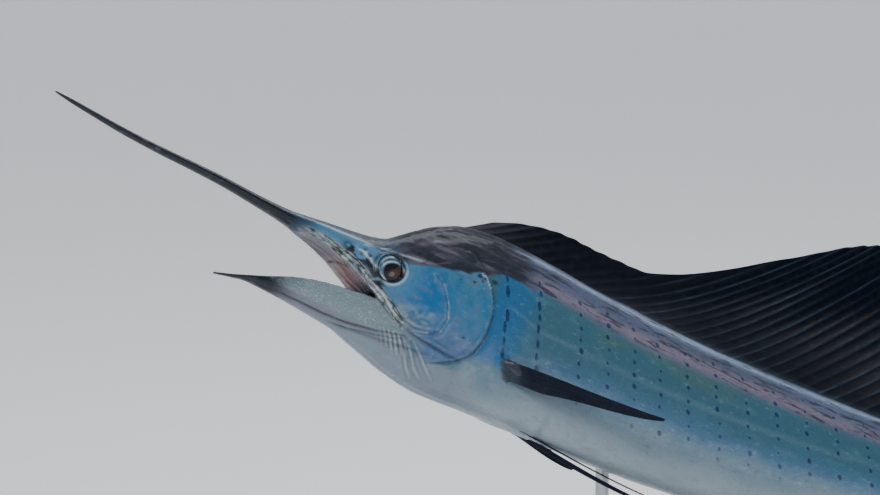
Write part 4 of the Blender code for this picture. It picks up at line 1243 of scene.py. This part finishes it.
def eye_material():
    m = Nodes("sailfish_eye")
    base = m.attr("tint", "Color")
    e = m.attr("canon", "Vector")
    n = m.noise(e, 40.0, 4.0, 0.6)
    c = m.mix(base, m.mix(base, (0.0, 0.0, 0.0), 0.5), m.ramp(n, 0.5, 0.7, 0.0, 0.7))
    m.link(c, m.bsdf.inputs["Base Color"])
    m.bsdf.inputs["Roughness"].default_value = 0.16
    m.bsdf.inputs["Coat Weight"].default_value = 0.45
    m.bsdf.inputs["Coat Roughness"].default_value = 0.02
    m.bsdf.inputs["Specular IOR Level"].default_value = 0.15
    return m.mat


# ----------------------------------------------------------------------
# skin
# ----------------------------------------------------------------------
def make_skin():
    p, faces, n = build_skin()
    d, dark = relief(p, n)
    keep = (p[:, 0] > 60)
    p2 = p + n * (d * keep)[:, None]
    tint, streak, bars, speck, silver_and_glint, inside, barx, gap, lipuv, backuv = colours(p, n, dark)
    ob = add_mesh("skin", p2, faces,
                  {"tint": tint, "streak": streak, "bars": bars,
                   "speck": speck, "silver_and_glint": silver_and_glint, "inside": inside,
                   "barx": barx, "gap": gap},
                  skin_material(), vectors={"lipuv": lipuv, "backuv": backuv})
    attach(ob, "root")
    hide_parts("bill", "head", "nape", "gill_cover_left",
                "gill_cover_right", "lower_jaw", "throat", "trunk_front",
                "trunk_middle", "trunk_rear", "tail_stalk")
    print("skin", len(p2), len(faces))
    return ob


# ----------------------------------------------------------------------
# eyes: a ball with a dark pupil low and behind, in a silver-blue iris
# ----------------------------------------------------------------------
def make_eye(side, sy, mat):
    nu, nv = 72, 40
    pts, faces, tint = [], [], []
    for i in range(nv + 1):
        th = math.pi * i / nv                    # 0 at the front of the eye
        for j in range(nu):
            ph = 2 * math.pi * j / nu
            u, v, w = (math.sin(th) * math.cos(ph), math.sin(th) * math.sin(ph),
                       math.cos(th))
            pts.append((u, w, v))
    q = np.array(pts)
    # a slight dome of cornea over the pupil
    pc = np.array([8.8, -5.8])
    ex, ez = q[:, 0] * EYE_RADIUS, q[:, 2] * EYE_RADIUS
    front = q[:, 1] > 0
    dome = np.exp(-(((ex - pc[0]) ** 2 + (ez - pc[1]) ** 2) / 14.0 ** 2) ** 1.5)
    y = q[:, 1] * EYE_BULGE + 0.5 * dome * front
    canon = np.stack([EYE_X + ex, sy * (EYE_Y + y), EYE_Z + ez], 1)
    for i in range(nv):
        for j in range(nu):
            k = (j + 1) % nu
            faces.append((i * nu + j, i * nu + k, (i + 1) * nu + k, (i + 1) * nu + j))
    # colour
    pr = np.hypot((ex - pc[0]) / 20.5, (ez - pc[1]) / 16.2)
    er = np.hypot(ex, ez)
    a = np.arctan2(ez, -ex)
    c = np.tile(np.array([0.055, 0.110, 0.175]), (len(q), 1))
    c = mix(c, (0.070, 0.130, 0.190), step(1.6, 1.2, pr) * 0.7)
    # bright crescent ahead and above, white rim behind and below
    cres = np.exp(-((pr - 1.17) / 0.060) ** 2) * step(0.1, 0.8, np.cos(a - 0.95))
    c = mix(c, (0.60, 0.68, 0.72), np.clip(cres * 0.85, 0, 1))
    cres2 = np.exp(-((pr - 1.38) / 0.050) ** 2) * step(0.1, 0.7, np.cos(a - 0.6))
    c = mix(c, (0.015, 0.018, 0.022), cres2 * 0.8)
    cres3 = np.exp(-((er - 18.6) / 1.1) ** 2) * step(0.60, 0.92, np.cos(a - 0.75))
    c = mix(c, (0.42, 0.50, 0.55), cres3 * 0.75)
    low = np.exp(-((er - 20.6) / 1.0) ** 2) * step(-0.1, 0.5, np.cos(a + 2.3))
    c = mix(c, (0.55, 0.62, 0.65), low * 0.85)
    c = mix(c, (0.010, 0.009, 0.010), step(1.08, 0.98, pr))
    c = mix(c, (0.060, 0.018, 0.014), step(0.70, 0.10, np.hypot(
        (ex - pc[0] + 2.0) / 18.0, (ez - pc[1]) / 15.0)) * 0.9)
    c = mix(c, (0.006, 0.007, 0.010), step(21.3, 22.3, er))
    ob = add_mesh("eye_%s_ball" % side, canon, faces, {"tint": c}, mat)
    import bmesh
    bm = bmesh.new()
    bm.from_mesh(ob.data)
    bmesh.ops.remove_doubles(bm, verts=bm.verts, dist=1e-6)
    bmesh.ops.recalc_face_normals(bm, faces=bm.faces)
    bm.to_mesh(ob.data)
    bm.free()
    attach(ob, "root")
    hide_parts("eye_" + side)
    return ob


# ----------------------------------------------------------------------
# fins
# ----------------------------------------------------------------------
def make_fin(name, node, surface, nu, nv, rays, thick, ridge, mat,
             ripple=None, phase=0.0, fade=None, fan=None, root=None):
    """A thin blade over surface(u, v): u across the rays, v root to tip."""
    u = np.linspace(0, 1, nu)
    v = np.linspace(0, 1, nv)
    U, V = np.meshgrid(u, v, indexing="ij")
    P = surface(U, V)
    du = np.gradient(P, axis=0)
    dv = np.gradient(P, axis=1)
    N = np.cross(du, dv)
    N /= np.maximum(np.linalg.norm(N, axis=2), 1e-9)[..., None]
    if N[:, :, 1].mean() < 0:
        N = -N
    across, along = (U, V) if fan is None else fan(P)
    saw = np.abs(np.cos(np.pi * (across * rays + phase)))
    rib = np.exp(-((1 - saw) / 0.10) ** 2)
    if fan is not None:
        rib = rib * step(0.21, 0.29, along)
    if ripple is not None:
        P = P + N * ripple(U, V)[..., None]
    edge = np.minimum(1.0, np.minimum(np.minimum(U, 1 - U) * nu / 2.0,
                                      (1 - V) * nv / 2.5) + 0.25)
    if fan is not None:
        edge = np.minimum(edge, V * nv / 2.5 + 0.25)
    if root is None:
        root = np.clip(1 - V / 0.10, 0, 1)
    else:
        root = root(P)
    t = (thick(U, V) + ridge(U, V) * rib) * edge
    A = (P + N * t[..., None] / 2).reshape(-1, 3)
    B = (P - N * t[..., None] / 2).reshape(-1, 3)
    pts = np.concatenate([A, B])
    off = nu * nv
    idx = np.arange(off).reshape(nu, nv)
    faces = []
    for i in range(nu - 1):
        for j in range(nv - 1):
            a, b, c, d = idx[i, j], idx[i + 1, j], idx[i + 1, j + 1], idx[i, j + 1]
            faces.append((a, b, c, d))
            faces.append((off + a, off + d, off + c, off + b))
    rim = ([idx[i, 0] for i in range(nu)] + [idx[nu - 1, j] for j in range(1, nv)]
           + [idx[i, nv - 1] for i in range(nu - 2, -1, -1)]
           + [idx[0, j] for j in range(nv - 2, 0, -1)])
    for i in range(len(rim)):
        a, b = rim[i], rim[(i + 1) % len(rim)]
        faces.append((a, off + a, off + b, b))
    two = lambda w: np.concatenate([w.ravel(), w.ravel()])
    fin = np.stack([two(across), two(along), np.zeros(2 * off)], 1)
    if fade is not None:
        rib = rib * fade(U, V)
    ob = add_mesh(name, pts, faces,
                  {"ray": two(rib), "root": two(root)},
                  mat, vectors={"fin": fin})
    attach(ob, "root")
    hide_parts(*(node if isinstance(node, tuple) else (node,)))
    return ob


def sail_surface(U, V):
    """The raised fin's middle surface, ray by ray."""
    X = SAIL_START + (SAIL_END - SAIL_START) * U[:, 0]
    nu, nv = U.shape
    out = np.empty((nu, nv, 3))
    root, fine = 7.0, 96
    for i, x in enumerate(X):
        ph = math.radians(float(SAIL_SWEEP(x)))
        l0, l1 = float(SAIL_LEAN0(x)), float(SAIL_LEAN1(x))
        total = float(SAIL_LEN(x)) + root / math.sin(ph)
        # the free edge dips a little between the rays
        saw = abs(math.cos(math.pi * U[i, 0] * (SAIL_RAYS - 1)))
        total -= 5.0 * (1 - saw) ** 0.8 * min(1.0, total / 300.0)
        ds = total / fine
        s = np.minimum((np.arange(fine) + 0.5) * ds / 400.0, 1.3)
        la = np.radians(l0 + (l1 - l0) * s)
        st = ds * np.stack([np.full(fine, math.cos(ph)), math.sin(ph) * np.sin(la),
                            math.sin(ph) * np.cos(la)], 1)
        p0 = np.array([x, 0.0, float(top(x)) - root])
        q = np.concatenate([[p0], p0 + np.cumsum(st, axis=0)])
        k = V[i] * fine
        k0 = np.clip(k.astype(int), 0, fine - 1)
        f = (k - k0)[:, None]
        out[i] = q[k0] * (1 - f) + q[k0 + 1] * f
    return out


def make_fins():
    sail_mat = fin_material("sail_membrane", (0.0014, 0.0028, 0.0068), (0.026, 0.042, 0.068), 0.3, 0.25)
    fin_mat = fin_material("fin_membrane", (0.0050, 0.0085, 0.018), (0.032, 0.043, 0.062), 0.3, 0.35)
    sub = 7
    nu = (SAIL_RAYS - 1) * sub + 1
    nv = 64

    def sail_ripple(U, V):
        w = np.sin(np.pi * U * (SAIL_RAYS - 1) * 1.0) ** 2
        soft = np.sin(U * 21.0 + 3.0 * V) + 0.6 * np.sin(U * 47.0 - 5.0 * V + 1.0)
        return 0.5 * w * V + 1.6 * soft * V * step(0.0, 0.3, U)

    make_fin("sail", "dorsal_sail", sail_surface, nu, nv, SAIL_RAYS - 1,
             lambda U, V: 1.5 - 0.8 * V,
             lambda U, V: (1.5 * (1 - V) ** 0.7 + 0.30) * (0.25 + 0.75 * step(0.12, 0.26, U)),
             sail_mat, sail_ripple,
             fade=lambda U, V: 0.12 + 0.88 * step(0.14, 0.26, U))

    def mid_fin(name, x0, x1, sign, height, sweep, rays, rows):
        def surf(U, V):
            x = x0 + (x1 - x0) * U
            edge = top if sign > 0 else bottom
            z = edge(x) - sign * 6.0
            h = height(U)
            saw = np.abs(np.cos(np.pi * U * rays))
            h = h - 2.0 * (1 - saw) * np.minimum(1, h / 50.0)
            a = np.radians(sweep(U))
            return np.stack([x + h * np.cos(a) * V, 0 * x,
                             z + sign * (h * np.sin(a) + 6.0) * V], -1)
        make_fin(name + "_looks", name, surf, rays * 6 + 1, rows,
                 rays, lambda U, V: 1.6 - 0.9 * V,
                 lambda U, V: 1.7 * (1 - V) + 0.3, fin_mat,
                 lambda U, V: 1.2 * np.sin(U * 9 + 2 * V) * V)

    anal_h = smooth([(0, 118), (0.12, 122), (0.35, 62), (0.7, 34), (1, 22)])
    anal_s = smooth([(0, 52), (0.3, 46), (1, 30)])
    mid_fin("anal_fin_first", 1640, 1800, -1, anal_h, anal_s, 14, 30)
    small_h = smooth([(0, 52), (0.3, 50), (0.7, 46), (1, 58)])
    small_s = smooth([(0, 50), (0.6, 36), (1, 18)])
    mid_fin("second_dorsal_fin", 1985, 2055, 1, small_h, small_s, 7, 18)
    mid_fin("anal_fin_second", 1972, 2042, -1, small_h, small_s, 7, 18)

    for side, sy in (("left", -1), ("right", 1)):
        def pectoral(U, V, sy=sy):
            return pectoral_sheet(U, V) * np.array([1.0, sy, 1.0])
        make_fin("pectoral_" + side, "pectoral_fin_" + side, pectoral,
                 85, 80, 14,
                 lambda U, V: (1.4 + 4.2 * np.exp(-U * 9) * (1 - V) * step(0.06, 0.24, V) + 1.6 * (1 - V) ** 2
                               + 3.0 * np.exp(-(V / 0.15) ** 2) * np.sin(np.pi * U) ** 0.5),
                 lambda U, V: (1.1 * (1 - V) + 0.25) * step(0.08, 0.24, V), fin_mat,
                 lambda U, V: 1.5 * np.sin(3.0 * U + 5.0 * V) * V,
                 fade=lambda U, V: step(0.10, 0.26, V),
                 root=lambda P: 0.5 * step(84.0, 66.0, np.abs(P[..., 1])))

        def pelvic(U, V, sy=sy):
            wide = 9.0 * (1 - V) ** 0.7 + 2.2
            off = 6.0 + 13.0 * np.sin(np.pi * 0.5 * V)
            x = 893 + 440.0 * V
            z = (-138.0 - 34.0 * np.sin(np.pi * 0.62 * V) / math.sin(math.pi * 0.62)
                 * V ** 0.6 + 16 * V * V)
            w = U - 0.5
            return np.stack([x, sy * (off + wide * w), z - wide * w * 0.5], -1)
        make_fin("pelvic_" + side, "pelvic_fin_" + side, pelvic, 19, 110,
                 3, lambda U, V: 1.5 - 0.5 * V, lambda U, V: 1.3 * (1 - V) + 0.3,
                 fin_mat)

    # tail fin: both blades in one sheet, V from the lower tip to the upper
    def tail_surface(U, V):
        w = 2 * V - 1
        lz = 388.0 * np.abs(w)
        k = (np.clip(lz - 24.0, 0, None) / 364.0) ** (1 / 0.92)
        ang = np.radians(62.0 - 8.0 * k)
        lx = 2236.0 + 175.0 * k + 60.0 * k * k
        chord = 66.0 * (1 - k) ** 0.72 + 6.0 + 22.0 * np.clip((0.12 - k) / 0.12, 0, 1)
        saw = np.abs(np.cos(np.pi * 40 * np.abs(w)))
        bx = lx + chord * np.sin(ang) - 1.6 * (1 - saw) * (1 - np.abs(w))
        bz = np.maximum(lz - chord * np.cos(ang), 0.12 * lz)
        x = lx * (1 - U) + bx * U
        z = lz * (1 - U) + bz * U
        side = 2.0 * np.sin(w * 5.0 + 1.0) * np.abs(w) * U
        return np.stack([x, side, np.sign(w) * z], -1)

    def tail_fan(P):
        dx, dz = P[..., 0] - 2212.0, P[..., 2]
        return np.arctan2(dz, dx) / 2.2, np.hypot(dx, dz) / 400.0

    def tail_root(P):
        return 0.4 * step(0.30, 0.20, np.hypot(P[..., 0] - 2212.0, 1.1 * P[..., 2]) / 400.0)

    def tail_thick(U, V):
        k = np.clip(np.abs(2 * V - 1) * 388.0 - 24.0, 0, None) / 364.0
        return ((11.0 * (1 - k) ** 1.2 + 1.2) * np.sqrt(
            np.clip(1 - (2 * U ** 0.8 - 1) ** 2, 0.015, 1)) * (1 - 0.5 * U))
    make_fin("caudal_fin", ("caudal_fin_upper", "caudal_fin_lower"), tail_surface,
             81, 361, 44, tail_thick,
             lambda U, V: 0.9 + 0 * V, fin_mat, fan=tail_fan, root=tail_root)


# ----------------------------------------------------------------------
# stand, floor, light, camera
# ----------------------------------------------------------------------
def stand_materials():
    w = Nodes("stand_walnut")
    tc = w.t.nodes.new("ShaderNodeTexCoord")
    p = tc.outputs["Object"]
    warp = w.noise(w.scale(p, (1.2, 6.0, 6.0)), 1.6, 4.0, 0.55)
    n = w.t.nodes.new("ShaderNodeTexWave")
    n.wave_type = "BANDS"
    n.bands_direction = "Y"
    w.link(w.scale(p, (0.12, 1.0, 1.0)), n.inputs["Vector"])
    n.inputs["Scale"].default_value = 9.0
    n.inputs["Distortion"].default_value = 4.0
    n.inputs["Detail"].default_value = 3.0
    n.inputs["Detail Scale"].default_value = 1.2
    pores = w.noise(w.scale(p, (4.0, 90.0, 90.0)), 6.0, 3.0, 0.6)
    c = w.mix((0.070, 0.034, 0.018), (0.118, 0.060, 0.031), n.outputs["Color"])
    c = w.mix(c, (0.030, 0.014, 0.008), w.ramp(warp, 0.52, 0.75, 0.0, 0.6))
    c = w.mix(c, (0.018, 0.009, 0.006), w.ramp(pores, 0.60, 0.72, 0.0, 0.7))
    w.link(c, w.bsdf.inputs["Base Color"])
    w.link(w.ramp(pores, 0.3, 0.7, 0.34, 0.50), w.bsdf.inputs["Roughness"])
    w.link(w.bump(pores, 0.18, 0.0006), w.bsdf.inputs["Normal"])
    w.bsdf.inputs["Coat Weight"].default_value = 0.2
    w.bsdf.inputs["Coat Roughness"].default_value = 0.25
    s = Nodes("stand_steel")
    tc = s.t.nodes.new("ShaderNodeTexCoord")
    p = tc.outputs["Object"]
    br = s.noise(s.scale(p, (20.0, 20.0, 3.0)), 3.0, 3.0, 0.5)
    c = s.mix((0.34, 0.35, 0.37), (0.42, 0.43, 0.45), br)
    s.link(c, s.bsdf.inputs["Base Color"])
    s.bsdf.inputs["Metallic"].default_value = 1.0
    s.link(s.ramp(br, 0.3, 0.7, 0.30, 0.38), s.bsdf.inputs["Roughness"])
    s.link(s.bump(br, 0.04, 0.0002), s.bsdf.inputs["Normal"])
    return w.mat, s.mat


def dress_stand():
    wood, steel = stand_materials()
    for name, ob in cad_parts.items():
        if name == "stand_base":
            mat = wood
        elif name.startswith("stand_"):
            mat = steel
        else:
            continue
        if isinstance(ob, str):
            ob = bpy.data.objects[ob]
        ob.data.materials.clear()
        ob.data.materials.append(mat)


def make_floor():
    """A flat pale floor that turns up into a far pale wall all round."""
    profile = [(0.0, 0.0), (22.0, 0.0), (25.0, 0.15), (27.0, 0.7), (28.4, 1.8),
               (29.2, 3.6), (29.5, 6.0), (29.5, 16.0)]
    m = 96
    verts = [(0.0, 0.0, 0.0)]
    for r, z in profile[1:]:
        for i in range(m):
            a = 2 * math.pi * i / m
            verts.append((r * math.cos(a), r * math.sin(a), z))
    faces = [(0, 1 + i, 1 + (i + 1) % m) for i in range(m)]
    for k in range(len(profile) - 2):
        for i in range(m):
            a, b = 1 + k * m + i, 1 + k * m + (i + 1) % m
            faces.append((a, a + m, b + m, b))
    me = bpy.data.meshes.new("floor")
    me.from_pydata(verts, [], faces)
    for poly in me.polygons[m:]:
        poly.use_smooth = True
    ob = bpy.data.objects.new("floor", me)
    bpy.context.scene.collection.objects.link(ob)
    f = Nodes("floor_pale")
    tc = f.t.nodes.new("ShaderNodeTexCoord")
    n = f.noise(tc.outputs["Object"], 3.0, 4.0)
    f.link(f.mix((0.84, 0.845, 0.85), (0.88, 0.885, 0.89), n), f.bsdf.inputs["Base Color"])
    f.bsdf.inputs["Roughness"].default_value = 0.85
    f.bsdf.inputs["Emission Color"].default_value = (0.93, 0.96, 1.0, 1.0)
    f.bsdf.inputs["Emission Strength"].default_value = 0.39
    me.materials.append(f.mat)


def area_light(name, loc, target, size, power, colour):
    li = bpy.data.lights.new(name, "AREA")
    li.shape = "ELLIPSE"
    li.size, li.size_y = size
    li.energy = power
    li.color = colour
    ob = bpy.data.objects.new(name, li)
    d = Vector(target) - Vector(loc)
    ob.location = loc
    ob.rotation_euler = d.to_track_quat("-Z", "Y").to_euler()
    bpy.context.scene.collection.objects.link(ob)


def lights():
    wd = bpy.data.worlds.new("studio")
    bpy.context.scene.world = wd
    wd.use_nodes = True
    bg = wd.node_tree.nodes["Background"]
    bg.inputs[0].default_value = (0.78, 0.86, 1.0, 1)
    bg.inputs[1].default_value = 0.18
    area_light("key", (-2.9, -2.4, 3.7), (-0.5, 0, 0.9), (2.2, 1.6), 120, (1, 0.99, 0.97))
    area_light("top", (0.9, 1.7, 4.0), (-0.2, 0, 0.9), (3.0, 1.4), 78, (0.93, 0.97, 1))
    area_light("front_fill", (2.4, -4.5, 1.9), (0.0, 0, 0.8), (3.0, 2.0), 42, (0.88, 0.94, 1))


def camera():
    a, e = math.radians(-12.8), math.radians(12.0)
    dist = 5500.0
    scale = 0.6 * 630 / 629 / math.cos(math.radians(17))
    f = scale * dist
    b = np.array([math.sin(a) * math.cos(e), -math.cos(a) * math.cos(e), math.sin(e)])
    R = np.array([math.cos(a), math.sin(a), 0.0])
    U = np.cross(b, R)
    e0 = pose([[630.0, -42.0, -10.0]])[0] / MM
    ex = (391.5 - 440) / f * dist
    ey = -(268.5 - 247.5) / f * dist
    cam = e0 - R * ex - U * ey + b * dist
    data = bpy.data.cameras.new("camera")
    data.sensor_fit = "HORIZONTAL"
    data.sensor_width = 36.0
    data.lens = 36.0 * f / 880.0
    data.clip_start, data.clip_end = 0.1, 100.0
    ob = bpy.data.objects.new("camera", data)
    m = Matrix(((R[0], U[0], b[0]), (R[1], U[1], b[1]), (R[2], U[2], b[2])))
    ob.matrix_world = Matrix.Translation(Vector(cam * MM)) @ m.to_4x4()
    bpy.context.scene.collection.objects.link(ob)
    bpy.context.scene.camera = ob


make_skin()
EYE_MAT = eye_material()
make_eye("left", -1, EYE_MAT)
make_eye("right", 1, EYE_MAT)
make_fins()
dress_stand()
make_floor()
lights()
camera()

bpy.context.view_layer.update()
